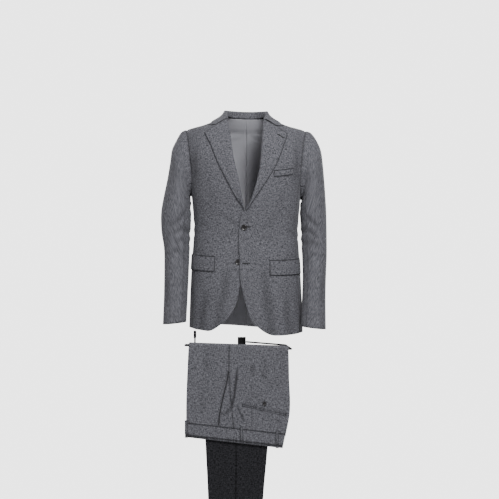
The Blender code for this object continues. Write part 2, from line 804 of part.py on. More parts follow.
def rail():
    """The trouser rail: a rod bent round to the front, its saddle and its end cap."""
    rear_z, saddle_depth = -0.7936, 0.012
    bar_end, peg_x, peg_y = -0.2070, -0.1746, -0.1225
    corners = (
        (0.0, -0.009, rear_z - 0.0002),
        (0.140, -0.009, -0.8048),
        (0.1560, -0.150, bar_z(0.156)),
        (bar_end, -0.150, bar_z(bar_end)),
        (bar_end, peg_y, bar_z(bar_end)),
        (peg_x, peg_y, bar_z(peg_x) + 0.002),
        (peg_x, peg_y, -0.7700),
    )
    rod("rail_rod", rounded_route(corners, 0.009), BAR_RADIUS)
    saddle = (-0.0150, -0.009, rear_z)
    box("rail_saddle", saddle, (0.0290, saddle_depth, 0.034), (RAIL_COLOUR, 0.4, 0.0), 0.0012)
    cap_low = -0.7700 + SEAM_GAP
    centre = Vector((peg_x, peg_y, cap_low + 0.0125))
    disc("rail_cap", centre, Vector((0, 0, 1)), 0.0095, 0.025, (RAIL_COLOUR, 0.5, 0.0))


def jacket():
    """All pieces of the jacket."""
    front_panel("front_left", 1, LEFT_EDGE)
    front_panel("front_right", -1, RIGHT_EDGE)
    for label, side, table in (("left", 1, LEFT_SLEEVE), ("right", -1, RIGHT_SLEEVE)):
        side_panel(f"side_body_{label}", side)
        back_panel(f"back_{label}", side)
        back, front = SLEEVE_BACK_SEAM, SLEEVE_FRONT_SEAM
        sleeve_panel(f"sleeve_top_{label}", side, table, back, front, 12)
        sleeve_panel(f"sleeve_under_{label}", side, table, front, back + 2 * math.pi, 7)
    lapel("lapel_left", 1, LEFT_EDGE, LEFT_LAPEL_EDGE)
    lapel("lapel_right", -1, RIGHT_EDGE, RIGHT_LAPEL_EDGE)
    collar()
    flap_out = JACKET_WALL + 4 * SEAM_GAP
    welt_out = JACKET_WALL + 2 * SEAM_GAP
    patch("flap_left", 1, angle_at(0.081, -0.50), math.radians(82), -0.497, -0.489, 0.054, flap_out)
    patch("flap_right", -1, angle_at(0.1055, -0.50), math.radians(93), -0.498, -0.490, 0.054, flap_out)
    welt_ends = angle_at(0.0965, -0.19), angle_at(0.1640, -0.19)
    patch("breast_welt", 1, *welt_ends, -0.1925, -0.1815, 0.0225, welt_out)
    above_overlap = OVERLAP_OUT + JACKET_WALL / 2 + BUTTON_THICKNESS / 2 + 4 * SEAM_GAP
    button_on_front("button_upper", -0.0061, -0.3910, above_overlap)
    under = -UNDERLAP_IN + JACKET_WALL / 2 + BUTTON_THICKNESS / 2 + 2 * SEAM_GAP
    button_on_front("button_lower", -0.0267, -0.5120, under)


def trousers():
    """All pieces of the folded trousers. Layer 0 touches the bar, layer 3 faces the viewer."""
    trouser_panel("trousers_front_right", True, 3, 2)
    trouser_panel("trousers_back_right", False, 3, 2)
    trouser_panel("trousers_front_left", True, 0, 1)
    trouser_panel("trousers_back_left", False, 0, 1)
    waistband("waistband_right", 3, 2)
    waistband("waistband_left", 0, 1)
    belt_loops("right", 3, 1)
    belt_loops("left", 0, -1)
    back_pocket(3)


def main():
    """Build the suit."""
    clear_scene()
    bpy.context.scene.collection.children.link(bpy.data.collections.new(COLLECTION))
    jacket()
    trousers()
    rail()


main()
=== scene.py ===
"""Two-piece wool suit, dressed over its own solids.

The jacket keeps its worn, hollow form and the trousers hang folded over their rail.
Metres, +Z up, +X to the viewer's right, the front faces -Y, and left and right are the wearer's.
Every sheet of cloth is a fine, thin wall on the form of its solid, with its creases placed one by one.
"""

import logging
import math
from dataclasses import dataclass, field
from enum import Enum
from typing import Callable, Sequence

import bmesh
import bpy
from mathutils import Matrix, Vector
from mathutils.bvhtree import BVHTree


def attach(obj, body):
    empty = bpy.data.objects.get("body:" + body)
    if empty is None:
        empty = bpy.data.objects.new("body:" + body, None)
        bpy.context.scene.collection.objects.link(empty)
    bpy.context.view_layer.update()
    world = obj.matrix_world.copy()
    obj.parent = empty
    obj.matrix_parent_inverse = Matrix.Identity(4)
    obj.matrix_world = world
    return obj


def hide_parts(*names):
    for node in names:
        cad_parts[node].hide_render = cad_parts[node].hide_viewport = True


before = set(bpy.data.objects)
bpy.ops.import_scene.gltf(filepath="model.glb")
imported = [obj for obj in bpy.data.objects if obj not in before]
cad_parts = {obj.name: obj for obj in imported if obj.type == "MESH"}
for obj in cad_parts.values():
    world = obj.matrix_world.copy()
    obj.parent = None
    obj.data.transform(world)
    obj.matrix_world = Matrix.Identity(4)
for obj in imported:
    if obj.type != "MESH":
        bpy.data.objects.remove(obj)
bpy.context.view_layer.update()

LOG = logging.getLogger("suit")
Table = tuple[tuple[float, ...], ...]

# Cloth and its seams
JACKET_WALL = 0.0020
LAPEL_WALL = 0.0018
TROUSER_WALL = 0.0012
SEAM_GAP = 0.0003
# The solids stay apart at their seams; the sewn cloth meets there
CLOSED = 0.00001
SEAM_TURN = 0.0001

# Body sections: height, half width, front depth, back depth, roundness
BODY_SECTIONS: Table = (
    (0.020, 0.070, 0.066, 0.055, 2.00),
    (0.005, 0.080, 0.074, 0.060, 2.00),
    (-0.012, 0.108, 0.080, 0.067, 2.00),
    (-0.024, 0.134, 0.086, 0.073, 2.00),
    (-0.033, 0.159, 0.091, 0.078, 2.05),
    (-0.040, 0.185, 0.096, 0.083, 2.10),
    (-0.048, 0.208, 0.101, 0.088, 2.15),
    (-0.075, 0.219, 0.110, 0.098, 2.25),
    (-0.120, 0.217, 0.124, 0.112, 2.35),
    (-0.180, 0.208, 0.133, 0.124, 2.40),
    (-0.256, 0.195, 0.136, 0.126, 2.40),
    (-0.320, 0.188, 0.128, 0.115, 2.40),
    (-0.400, 0.183, 0.116, 0.102, 2.35),
    (-0.500, 0.189, 0.118, 0.112, 2.30),
    (-0.600, 0.195, 0.124, 0.128, 2.30),
    (-0.720, 0.199, 0.126, 0.136, 2.30),
    (-0.800, 0.201, 0.126, 0.138, 2.30),
)

# Front edge of each front: height, reach towards its own side from the centre
LEFT_EDGE: Table = (
    (0.005, 0.0705), (-0.030, 0.0625), (-0.058, 0.0605), (-0.098, 0.0575), (-0.164, 0.0520),
    (-0.199, 0.0475), (-0.282, 0.0245), (-0.330, 0.0030), (-0.345, -0.0140), (-0.390, -0.0225),
    (-0.460, -0.0250), (-0.502, -0.0215), (-0.565, -0.0200), (-0.600, -0.0140), (-0.660, 0.0010),
    (-0.700, 0.0150), (-0.716, 0.0220), (-0.757, 0.0330),
)
RIGHT_EDGE: Table = (
    (0.005, 0.0715), (-0.020, 0.0670), (-0.043, 0.0615), (-0.065, 0.0570), (-0.120, 0.0495),
    (-0.178, 0.0395), (-0.200, 0.0330), (-0.299, 0.0125), (-0.345, 0.0030), (-0.362, -0.0120),
    (-0.400, -0.0180), (-0.480, -0.0180), (-0.530, -0.0080), (-0.587, 0.0195), (-0.636, 0.0275),
    (-0.681, 0.0445), (-0.720, 0.0710), (-0.757, 0.0900),
)

# Outer edge of a lapel from the foot of the roll up to its point: x, height
LEFT_LAPEL_EDGE: Table = (
    (0.0060, -0.3300), (0.0367, -0.2820), (0.0616, -0.2450), (0.0949, -0.1910),
    (0.1150, -0.1490), (0.1306, -0.1070), (0.1396, -0.0800), (0.1423, -0.0630),
)
RIGHT_LAPEL_EDGE: Table = (
    (0.0060, -0.3300), (0.0378, -0.2870), (0.0793, -0.2080), (0.0945, -0.1770),
    (0.1119, -0.1340), (0.1226, -0.1070), (0.1365, -0.0800), (0.1430, -0.0630),
)

# Across a lapel from its roll: distance past the front's edge, share of its width, height over the chest
LAPEL_SHAPE: Table = (
    (-0.0012, 0.00, 0.0000), (-0.0013, 0.00, 0.0024), (0.0014, 0.00, 0.0048), (0.0000, 0.30, 0.0050),
    (0.0000, 0.55, 0.0042), (0.0000, 0.80, 0.0036), (0.0000, 1.00, 0.0031),
)

# Collar stations from the centre back to the gorge: fold x, y, z, edge x, y, z, seam drop, inset
COLLAR_STATIONS: Table = (
    (0.0000, 0.0640, 0.0290, 0.0000, 0.0725, -0.0135, 0.026, 0.0045),
    (0.0230, 0.0615, 0.0290, 0.0350, 0.0690, -0.0135, 0.026, 0.0045),
    (0.0440, 0.0530, 0.0290, 0.0685, 0.0575, -0.0130, 0.025, 0.0045),
    (0.0610, 0.0370, 0.0280, 0.0940, 0.0415, -0.0105, 0.023, 0.0045),
    (0.0710, 0.0150, 0.0260, 0.1075, 0.0195, -0.0115, 0.020, 0.0050),
    (0.0740, -0.0100, 0.0220, 0.1130, -0.0080, -0.0105, 0.016, 0.0060),
    (0.0730, -0.0330, 0.0100, 0.1200, -0.0400, -0.0200, 0.010, 0.0085),
    (0.0664, -0.0560, -0.0010, 0.1255, -0.0565, -0.0285, 0.004, 0.0040),
)

# Sleeve rings: outer x, outer z, inner x, inner z, half depth, centre y
LEFT_SLEEVE: Table = (
    (0.2310, -0.0560, 0.1985, -0.2900, 0.0700, 0.002),
    (0.2500, -0.0830, 0.1975, -0.2925, 0.0715, 0.001),
    (0.2640, -0.1160, 0.1975, -0.2970, 0.0705, -0.001),
    (0.2705, -0.1580, 0.1945, -0.3040, 0.0690, -0.003),
    (0.2755, -0.2150, 0.1918, -0.3160, 0.0670, -0.006),
    (0.2800, -0.2800, 0.1920, -0.3450, 0.0640, -0.010),
    (0.2825, -0.3400, 0.1945, -0.3800, 0.0605, -0.015),
    (0.2837, -0.4050, 0.1950, -0.4250, 0.0570, -0.022),
    (0.2830, -0.4900, 0.1985, -0.4940, 0.0535, -0.034),
    (0.2790, -0.5680, 0.1995, -0.5690, 0.0510, -0.047),
    (0.2768, -0.6430, 0.1965, -0.6420, 0.0490, -0.060),
    (0.2765, -0.7430, 0.1915, -0.7330, 0.0475, -0.076),
)
RIGHT_SLEEVE: Table = (
    (0.2300, -0.0540, 0.1985, -0.2885, 0.0700, 0.002),
    (0.2480, -0.0850, 0.1975, -0.2915, 0.0715, 0.001),
    (0.2610, -0.1140, 0.1975, -0.2960, 0.0705, -0.001),
    (0.2670, -0.1560, 0.1955, -0.3030, 0.0690, -0.003),
    (0.2765, -0.2150, 0.1965, -0.3140, 0.0675, -0.006),
    (0.2890, -0.2780, 0.1950, -0.3430, 0.0650, -0.010),
    (0.2985, -0.3420, 0.1955, -0.3780, 0.0620, -0.015),
    (0.2970, -0.4000, 0.1975, -0.4200, 0.0585, -0.022),
    (0.2870, -0.4650, 0.1990, -0.4700, 0.0545, -0.031),
    (0.2850, -0.5400, 0.2010, -0.5420, 0.0515, -0.044),
    (0.2850, -0.6250, 0.2040, -0.6240, 0.0490, -0.058),
    (0.2875, -0.7260, 0.2080, -0.7180, 0.0470, -0.074),
)

# Creases of the folded trousers: distance from the bar (front minus), left x, seam x, right x
TROUSER_ROWS: Table = (
    (-0.300, -0.2020, -0.0400, 0.1330),
    (-0.210, -0.2015, -0.0500, 0.1490),
    (-0.110, -0.1980, -0.0570, 0.1465),
    (0.000, -0.1920, -0.0560, 0.1430),
    (0.100, -0.1780, -0.0500, 0.1300),
    (0.200, -0.1580, -0.0420, 0.1050),
    (0.300, -0.1405, -0.0350, 0.0800),
    (0.400, -0.1340, -0.0330, 0.0690),
    (0.530, -0.1280, -0.0350, 0.0580),
    (0.700, -0.1240, -0.0360, 0.0520),
)


class Side(Enum):
    """The wearer's left or right, as the sign of x."""

    LEFT = 1
    RIGHT = -1

    @property
    def label(self) -> str:
        """Return the word used in piece names."""
        return self.name.lower()


def read_table(table: Table, at: float) -> list[float]:
    """Read a table's columns at one value of its first column, along a smooth curve.

    Args:
        table: Rows whose first number is the place that is looked up.
        at: The value to read at.

    Returns:
        The other columns there.
    """
    rows = sorted(table)
    at = min(max(at, rows[0][0]), rows[-1][0])
    k = 0
    while k < len(rows) - 2 and at > rows[k + 1][0]:
        k += 1
    low, high = rows[k], rows[k + 1]
    before, after = rows[max(k - 1, 0)], rows[min(k + 2, len(rows) - 1)]
    span = high[0] - low[0]
    t = (at - low[0]) / span
    rise = 3 * t**2 - 2 * t**3
    out = []
    for c in range(1, len(low)):
        slope_low = (high[c] - before[c]) / (high[0] - before[0]) * span
        slope_high = (after[c] - low[c]) / (after[0] - low[0]) * span
        tangents = (t**3 - 2 * t**2 + t) * slope_low + (t**3 - t**2) * slope_high
        out.append((1 - rise) * low[c] + rise * high[c] + tangents)
    return out


def along(points: Sequence[Sequence[float]], t: float) -> Vector:
    """Return the place at share t of a polyline's length.

    Args:
        points: The polyline's corners.
        t: Share of its length, 0 to 1.

    Returns:
        The place there.
    """
    corners = [Vector(p) for p in points]
    lengths = [(b - a).length for a, b in zip(corners, corners[1:])]
    left = t * sum(lengths)
    for a, b, length in zip(corners, corners[1:], lengths):
        if left <= length:
            return a.lerp(b, left / length)
        left -= length
    return corners[-1]


def ease(t: float) -> float:
    """Go smoothly from 0 to 1."""
    t = min(max(t, 0.0), 1.0)
    return t * t * (3 - 2 * t)


def power(value: float, exponent: float) -> float:
    """Raise to a power and keep the sign."""
    return math.copysign(abs(value) ** exponent, value)


def spread(low: float, high: float, count: int) -> list[float]:
    """Return evenly spaced values from low to high, count steps."""
    return [low + (high - low) * i / count for i in range(count + 1)]


def steps_between(knots: Sequence[float], step: float) -> list[float]:
    """Fill a falling or rising run of values so that no step is longer than the given one.

    Args:
        knots: The values that are kept.
        step: The longest step.

    Returns:
        The filled run.
    """
    out = [knots[0]]
    for a, b in zip(knots, knots[1:]):
        count = max(1, math.ceil(abs(b - a) / step))
        out += [a + (b - a) * i / count for i in range(1, count + 1)]
    return out


@dataclass(frozen=True)
class Torso:
    """The worn form that the jacket's body pieces lie on."""

    sections: Table = BODY_SECTIONS
    lean_at_shoulder: float = 0.002
    lean_at_waist: float = 0.0085
    overlap_out: float = 0.0033
    underlap_in: float = 0.0024
    overlap_fade: float = 0.085
    armhole_z: float = -0.166
    armhole_half_height: float = 0.118
    armhole_half_depth: float = 0.066
    armhole_roundness: float = 2.3
    front_seam: float = math.radians(67)
    back_seam: float = math.radians(113)

    def lean(self, x: float, z: float) -> float:
        """Return how far the jacket hangs lower on the wearer's left than in the middle."""
        depth = ease((-z - 0.05) / 0.40)
        most = self.lean_at_shoulder + (self.lean_at_waist - self.lean_at_shoulder) * depth
        return most * math.sin(0.5 * math.pi * min(max(x / 0.16, -1.0), 1.0))

    def crossing(self, x: float, z: float, side: Side) -> float:
        """Return how far the overlapping fronts are moved apart near the centre."""
        fade = 1.0 - ease((abs(x) - 0.025) / (self.overlap_fade - 0.025))
        fade *= ease((-z - 0.26) / 0.07)
        return (self.overlap_out if side is Side.LEFT else -self.underlap_in) * fade

    def point(self, angle: float, z: float) -> Vector:
        """Return the surface at an angle from the centre front, before it leans."""
        half_width, front, back, roundness = read_table(self.sections, z)
        depth = front if math.cos(angle) > 0 else back
        x = half_width * power(math.sin(angle), 2 / roundness)
        return Vector((x, -depth * power(math.cos(angle), 2 / roundness), z))

    def normal(self, angle: float, z: float) -> Vector:
        """Return the outward direction of the surface."""
        step = 0.01
        round_it = self.point(angle + step, z) - self.point(angle - step, z)
        up = self.point(angle, min(z + 0.004, 0.019)) - self.point(angle, z - 0.004)
        return round_it.cross(up).normalized()

    def angle_at(self, x: float, z: float) -> float:
        """Return the angle where the front has this x."""
        half_width, _, _, roundness = read_table(self.sections, z)
        share = min(abs(x) / half_width, 1.0)
        return math.copysign(math.asin(share ** (roundness / 2)), x)

    def worn(self, angle: float, z: float, out: float, side: Side) -> Vector:
        """Return a worn place on one side.

        Args:
            angle: Angle from the centre front.
            z: Height before the jacket leans.
            out: Distance outwards from the surface.
            side: The wearer's side.

        Returns:
            The place in the row frame.
        """
        place = self.point(angle, z) + out * self.normal(angle, z)
        place.x *= side.value
        place.z -= self.lean(place.x, z)
        return place

    def armhole_angle(self, z: float, front: bool) -> float:
        """Return the angle of the armhole's edge at a height, on its front or its back."""
        lift = min(abs((z - self.armhole_z) / self.armhole_half_height), 1.0)
        roundness = self.armhole_roundness
        y = self.armhole_half_depth * (1 - lift**roundness) ** (1 / roundness)
        _, front_depth, back_depth, body_roundness = read_table(self.sections, z)
        depth = front_depth if front else back_depth
        angle = math.acos(min(y / depth, 1.0) ** (body_roundness / 2))
        return angle if front else math.pi - angle

    def panel_edge(self, z: float, front: bool) -> float:
        """Return the angle where a front or back ends: shoulder, armhole or side."""
        if z > self.armhole_z + self.armhole_half_height:
            return 0.5 * math.pi
        edge = self.armhole_angle(z, front)
        if z > self.armhole_z:
            return edge
        return min(edge, self.front_seam) if front else max(edge, self.back_seam)

    def armhole_foot(self, angle: float) -> float:
        """Return the height where the armhole's lower half crosses an angle."""
        z = self.armhole_z - self.armhole_half_height
        roundness = self.armhole_roundness
        for _ in range(12):
            share = min(abs(self.point(angle, z).y) / self.armhole_half_depth, 1.0)
            drop = (1 - share**roundness) ** (1 / roundness)
            z = 0.5 * (z + self.armhole_z - self.armhole_half_height * drop)
        return z

    def armhole_point(self, turn: float, side: Side, out: float) -> Vector:
        """Return a place on the armhole's edge: turn 0 is its top, 90 its front."""
        z = self.armhole_z + self.armhole_half_height * power(math.cos(turn), 2 / self.armhole_roundness)
        y = -self.armhole_half_depth * power(math.sin(turn), 2 / self.armhole_roundness)
        half_width, front, back, roundness = read_table(self.sections, z)
        depth = front if y < 0 else back
        x = half_width * (1 - (abs(y) / depth) ** roundness) ** (1 / roundness) + out
        return Vector((x * side.value, y, z - self.lean(x * side.value, z)))


TORSO = Torso()


@dataclass(frozen=True)
class Crease:
    """A soft fold in cloth: a line over its face, how deep it goes and how far it reaches.

    The line's numbers are the two face coordinates of the panel that carries it, in metres.
    A plus depth stands out and a minus depth goes in. Ridges of a share of it run beside the line.
    Dark is how many times stronger than its depth alone the painted shade on the fold's floor is.
    """

    line: tuple[tuple[float, float], ...]
    depth: float
    reach: float
    full_at_start: bool = False
    full_at_end: bool = False
    ridges: float = 0.33
    # Gain of the painted shade that darkens the fold's floor
    dark: float = 1.0

    def lift(self, a: float, b: float) -> float:
        """Return how far the fold moves the cloth at a place on its face."""
        best, share, walked = 1e9, 0.0, 0.0
        total = sum(math.dist(p, q) for p, q in zip(self.line, self.line[1:]))
        for (ax, ay), (bx, by) in zip(self.line, self.line[1:]):
            dx, dy = bx - ax, by - ay
            length = math.hypot(dx, dy)
            t = min(max(((a - ax) * dx + (b - ay) * dy) / (length * length), 0.0), 1.0)
            away = math.hypot(a - ax - t * dx, b - ay - t * dy)
            if away < best:
                best, share = away, (walked + t * length) / total
            walked += length
        d = best / self.reach
        if d > 3.2:
            return 0.0
        taper = 1.0 if self.full_at_start and share < 0.5 else ease(share / 0.4)
        taper *= 1.0 if self.full_at_end and share > 0.5 else ease((1.0 - share) / 0.4)
        profile = math.exp(-d * d) - self.ridges * math.exp(-((d - 1.7) ** 2) / 0.5)
        return self.depth * taper * profile


@dataclass(frozen=True)
class Knot:
    """One grid point of a panel: its place and its two face coordinates."""

    place: Vector
    across: float
    up: float


Rows = list[list[Knot]]


@dataclass(frozen=True)
class Turned:
    """How far a panel's four edges dip to their seams, which also sets their painted shade: row start, row
    end, first row, last row.
    """

    start: float = 0.0
    end: float = 0.0
    first: float = 0.0
    last: float = 0.0
    reach: float = 0.0032

    def dip(self, to_start: float, to_end: float, to_first: float, to_last: float) -> float:
        """Return the dip at a place that lies so far from the four edges."""
        return -sum(self.depths(to_start, to_end, to_first, to_last))

    def depths(self, *gaps: float) -> list[float]:
        """Return each edge's own dip at a place that lies so far from the four edges."""
        pairs = zip((self.start, self.end, self.first, self.last), gaps)
        return [depth * math.exp(-((gap / self.reach) ** 2)) for depth, gap in pairs]


# How deep a turned edge or a crease is where its painted shade is full
FULL_SEAM_DIP = 0.0004
FULL_CREASE_DEPTH = 0.0065


def link(item: bpy.types.Object) -> bpy.types.Object:
    """Put an object in the scene and return it."""
    bpy.context.scene.collection.objects.link(item)
    return item


def running_lengths(places: Sequence[Vector]) -> list[float]:
    """Return the length walked along a row of places, one number each."""
    out = [0.0]
    for a, b in zip(places, places[1:]):
        out.append(out[-1] + (b - a).length)
    return out


@dataclass
class Cloth:
    """A sheet of cloth from a grid of knots, with its thickness, creases and finishes."""

    name: str
    rows: Rows
    wall: float
    face: bpy.types.Material
    back: bpy.types.Material
    outwards: Callable[[Vector], Vector]
    creases: Sequence[Crease] = ()
    turned: Turned = Turned()
    facing_width: float = 0.0
    grain: float = 0.0

    def build(self) -> bpy.types.Object:
        """Make the wall of cloth.

        Returns:
            The finished object, at the origin and in the row frame.
        """
        places = [[knot.place.copy() for knot in row] for row in self.rows]
        height, width = len(places), len(places[0])
        mesh = bpy.data.meshes.new(self.name)
        flat = [p for row in places for p in row]
        faces = [
            (j * width + i, j * width + i + 1, (j + 1) * width + i + 1, (j + 1) * width + i)
            for j in range(height - 1)
            for i in range(width - 1)
        ]
        mesh.from_pydata(flat, [], faces)
        middle = mesh.polygons[len(faces) // 2 + (width - 1) // 2]
        if middle.normal.dot(self.outwards(middle.center)) < 0:
            mesh.flip_normals()
        mesh.update()
        across = [running_lengths(row) for row in places]
        down = [running_lengths([places[j][i] for j in range(height)]) for i in range(width)]
        normals = [vertex.normal.copy() for vertex in mesh.vertices]
        # Painted shade: every knot gets a share of darkening from its turned edges and the floors of its
        # creases
        painted_shade = mesh.attributes.new("painted_shade", "FLOAT", "POINT").data
        for j in range(height):
            for i in range(width):
                knot = self.rows[j][i]
                lifts = [crease.lift(knot.across, knot.up) for crease in self.creases]
                lift = sum(lifts)
                painted_crease_shade = -sum(one * crease.dark for one, crease in zip(lifts, self.creases))
                gaps = (across[j][i], across[j][-1] - across[j][i], down[i][j], down[i][-1] - down[i][j])
                mesh.vertices[j * width + i].co += (lift + self.turned.dip(*gaps)) * normals[j * width + i]
                # The turned edges' dips set the painted shade along seams and edges
                seam = max(self.turned.depths(*gaps)) / FULL_SEAM_DIP
                painted_shade[j * width + i].value = min(max(seam, painted_crease_shade / FULL_CREASE_DEPTH, 0.0), 1.0)
        self.lay_grain(mesh, across, down, width)
        mesh.shade_smooth()
        item = link(bpy.data.objects.new(self.name, mesh))
        for finish in (self.face, self.back, self.face, self.face):
            mesh.materials.append(finish)
        if self.facing_width:
            for face in mesh.polygons:
                j, i = divmod(face.vertices[0], width)
                face.material_index = 0 if across[j][i] > self.facing_width else 2
        return self.thicken(item)

    def lay_grain(
        self, mesh: bpy.types.Mesh, across: list[list[float]], down: list[list[float]], width: int
    ) -> None:
        """Write the cloth's own coordinates, in metres along its threads, to a UV map."""
        threads = mesh.uv_layers.new(name="threads")
        turn = math.radians(self.grain)
        for face in mesh.polygons:
            for corner in face.loop_indices:
                j, i = divmod(mesh.loops[corner].vertex_index, width)
                u, v = across[j][i], down[i][j]
                threads.data[corner].uv = (
                    u * math.cos(turn) - v * math.sin(turn),
                    u * math.sin(turn) + v * math.cos(turn),
                )

    def thicken(self, item: bpy.types.Object) -> bpy.types.Object:
        """Give the sheet its thickness and turn the result into a plain mesh.

        Args:
            item: The open sheet. Its material slots are face and back, then face and face for a facing.

        Returns:
            The object, whose mesh is now the closed wall.
        """
        wall = item.modifiers.new("wall", "SOLIDIFY")
        wall.thickness = self.wall
        wall.offset = 0.0
        wall.material_offset = 1
        return baked(item)


def baked(item: bpy.types.Object) -> bpy.types.Object:
    """Apply an object's modifiers to its mesh and return it without them."""
    bpy.context.view_layer.update()
    graph = bpy.context.evaluated_depsgraph_get()
    mesh = bpy.data.meshes.new_from_object(
        item.evaluated_get(graph), preserve_all_data_layers=True, depsgraph=graph
    )
    mesh.name = item.name
    old = item.data
    item.modifiers.clear()
    if item.type == "MESH":
        item.data = mesh
        bpy.data.meshes.remove(old)
        return item
    made = link(bpy.data.objects.new(item.name + "_mesh", mesh))
    made.matrix_world = item.matrix_world
    name = item.name
    bpy.data.objects.remove(item, do_unlink=True)
    made.name = name
    return made


def settled(item: bpy.types.Object) -> bpy.types.Object:
    """Move an object's place and turn into its mesh, so that it sits at the origin."""
    bpy.context.view_layer.update()
    item.data.transform(item.matrix_world)
    item.matrix_world.identity()
    return item


def thin(item: bpy.types.Object, node: str) -> bpy.types.Object:
    """Let a piece stand for its solid and ride on the suit.

    Args:
        item: The finished piece.
        node: The solid that it stands for.

    Returns:
        The piece.
    """
    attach(item, "root")
    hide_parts(node)
    return item


def away_from_middle(place: Vector) -> Vector:
    """Return the direction from the middle line of the body to a place."""
    return Vector((place.x, place.y, 0.0))


def linear(hex_colour: str) -> tuple[float, float, float, float]:
    """Turn an sRGB hex colour into the linear numbers that a shader reads."""
    values = [int(hex_colour[k : k + 2], 16) / 255 for k in (1, 3, 5)]
    red, green, blue = (v / 12.92 if v <= 0.04045 else ((v + 0.055) / 1.055) ** 2.4 for v in values)
    return (red, green, blue, 1.0)


def add_node(
    tree: bpy.types.NodeTree, kind: str, settings: dict | None = None, links: dict | None = None
) -> bpy.types.Node:
    """Add a node with its settings and its links.

    Args:
        tree: The tree that gets the node.
        kind: The node's type name.
        settings: Properties by name, or socket values by name or number.
        links: Output sockets by the input that they feed.

    Returns:
        The new node.
    """
    node = tree.nodes.new(kind)
    for key, value in (settings or {}).items():
        if isinstance(key, str) and hasattr(node, key):
            setattr(node, key, value)
        else:
            node.inputs[key].default_value = value
    for key, output in (links or {}).items():
        tree.links.new(output, node.inputs[key])
    return node


# Distance between two bands of a wave texture of scale 1
WAVE_BAND = 0.628
# A noise texture's values lie mostly in this range
NOISE_RANGE = (0.3, 0.7)

Socket = bpy.types.NodeSocket


class Recipe:
    """A Principled material in the making, with one short call for each kind of node."""

    def __init__(self, name: str) -> None:
        """Start the material.

        Args:
            name: Name of the real material.
        """
        self.material = bpy.data.materials.new(name)
        self.material.use_nodes = True
        self.tree = self.material.node_tree
        self.shader = self.tree.nodes["Principled BSDF"]

    def threads(self) -> Socket:
        """Return the cloth's own coordinates, in metres along its threads."""
        return add_node(self.tree, "ShaderNodeUVMap", {"uv_map": "threads"}).outputs["UV"]

    def place(self) -> Socket:
        """Return object coordinates, in metres."""
        return add_node(self.tree, "ShaderNodeTexCoord").outputs["Object"]

    def noise(self, where: Socket, scale: float, detail: float, **more: float) -> Socket:
        """Return noise of a scale and a detail."""
        settings = {"Scale": scale, "Detail": detail, **more}
        return add_node(self.tree, "ShaderNodeTexNoise", settings, {"Vector": where}).outputs[0]

    def streaks(self, where: Socket, scales: tuple[float, float, float], detail: float) -> Socket:
        """Return noise with a scale of its own in each direction."""
        mapped = add_node(self.tree, "ShaderNodeMapping", {"Scale": scales}, {"Vector": where})
        return self.noise(mapped.outputs[0], 1.0, detail)

    def bands(self, where: Socket, pitch: float, **more: float) -> Socket:
        """Return slanting bands that lie a pitch apart."""
        settings = {"bands_direction": "DIAGONAL", "Scale": WAVE_BAND / pitch, **more}
        return add_node(self.tree, "ShaderNodeTexWave", settings, {"Vector": where}).outputs["Fac"]

    def blend(self, share: float, first: Socket, second: Socket) -> Socket:
        """Return a mix of two values, with this share of the second."""
        settings = {"data_type": "FLOAT", 0: share}
        return add_node(self.tree, "ShaderNodeMix", settings, {2: first, 3: second}).outputs[0]

    def tones(self, first: str, second: str, share: Socket) -> Socket:
        """Return a mix of two colours, with a share of the second that varies."""
        settings = {"data_type": "RGBA", 6: linear(first), 7: linear(second)}
        return add_node(self.tree, "ShaderNodeMix", settings, {0: share}).outputs[2]

    def ramp(self, value: Socket, *stops: tuple[float, str]) -> Socket:
        """Return a colour that changes with a value, from its first stop to its last."""
        node = add_node(self.tree, "ShaderNodeValToRGB", {}, {"Fac": value})
        for element, (position, colour) in zip(node.color_ramp.elements, stops):
            element.position = position
            element.color = linear(colour)
        return node.outputs["Color"]

    def between(self, value: Socket, low: float, high: float) -> Socket:
        """Return noise brought between two values."""
        limits = {"From Min": NOISE_RANGE[0], "From Max": NOISE_RANGE[1], "To Min": low, "To Max": high}
        return add_node(self.tree, "ShaderNodeMapRange", limits, {"Value": value}).outputs[0]

    def finish(self, linked: dict[str, Socket], plain: dict, bump: tuple | None = None) -> bpy.types.Material:
        """Set the shader and return the material.

        Args:
            linked: Outputs by the shader's input that they feed.
            plain: Uniform values by the shader's input.
            bump: Height, strength and distance of a bump, if there is one.

        Returns:
            The finished material.
        """
        if bump:
            height, strength, distance = bump
            settings = {"Strength": strength, "Distance": distance}
            linked["Normal"] = add_node(
                self.tree, "ShaderNodeBump", settings, {"Height": height}
            ).outputs["Normal"]
        for name, output in linked.items():
            self.tree.links.new(output, self.shader.inputs[name])
        for name, value in plain.items():
            self.shader.inputs[name].default_value = value
        return self.material


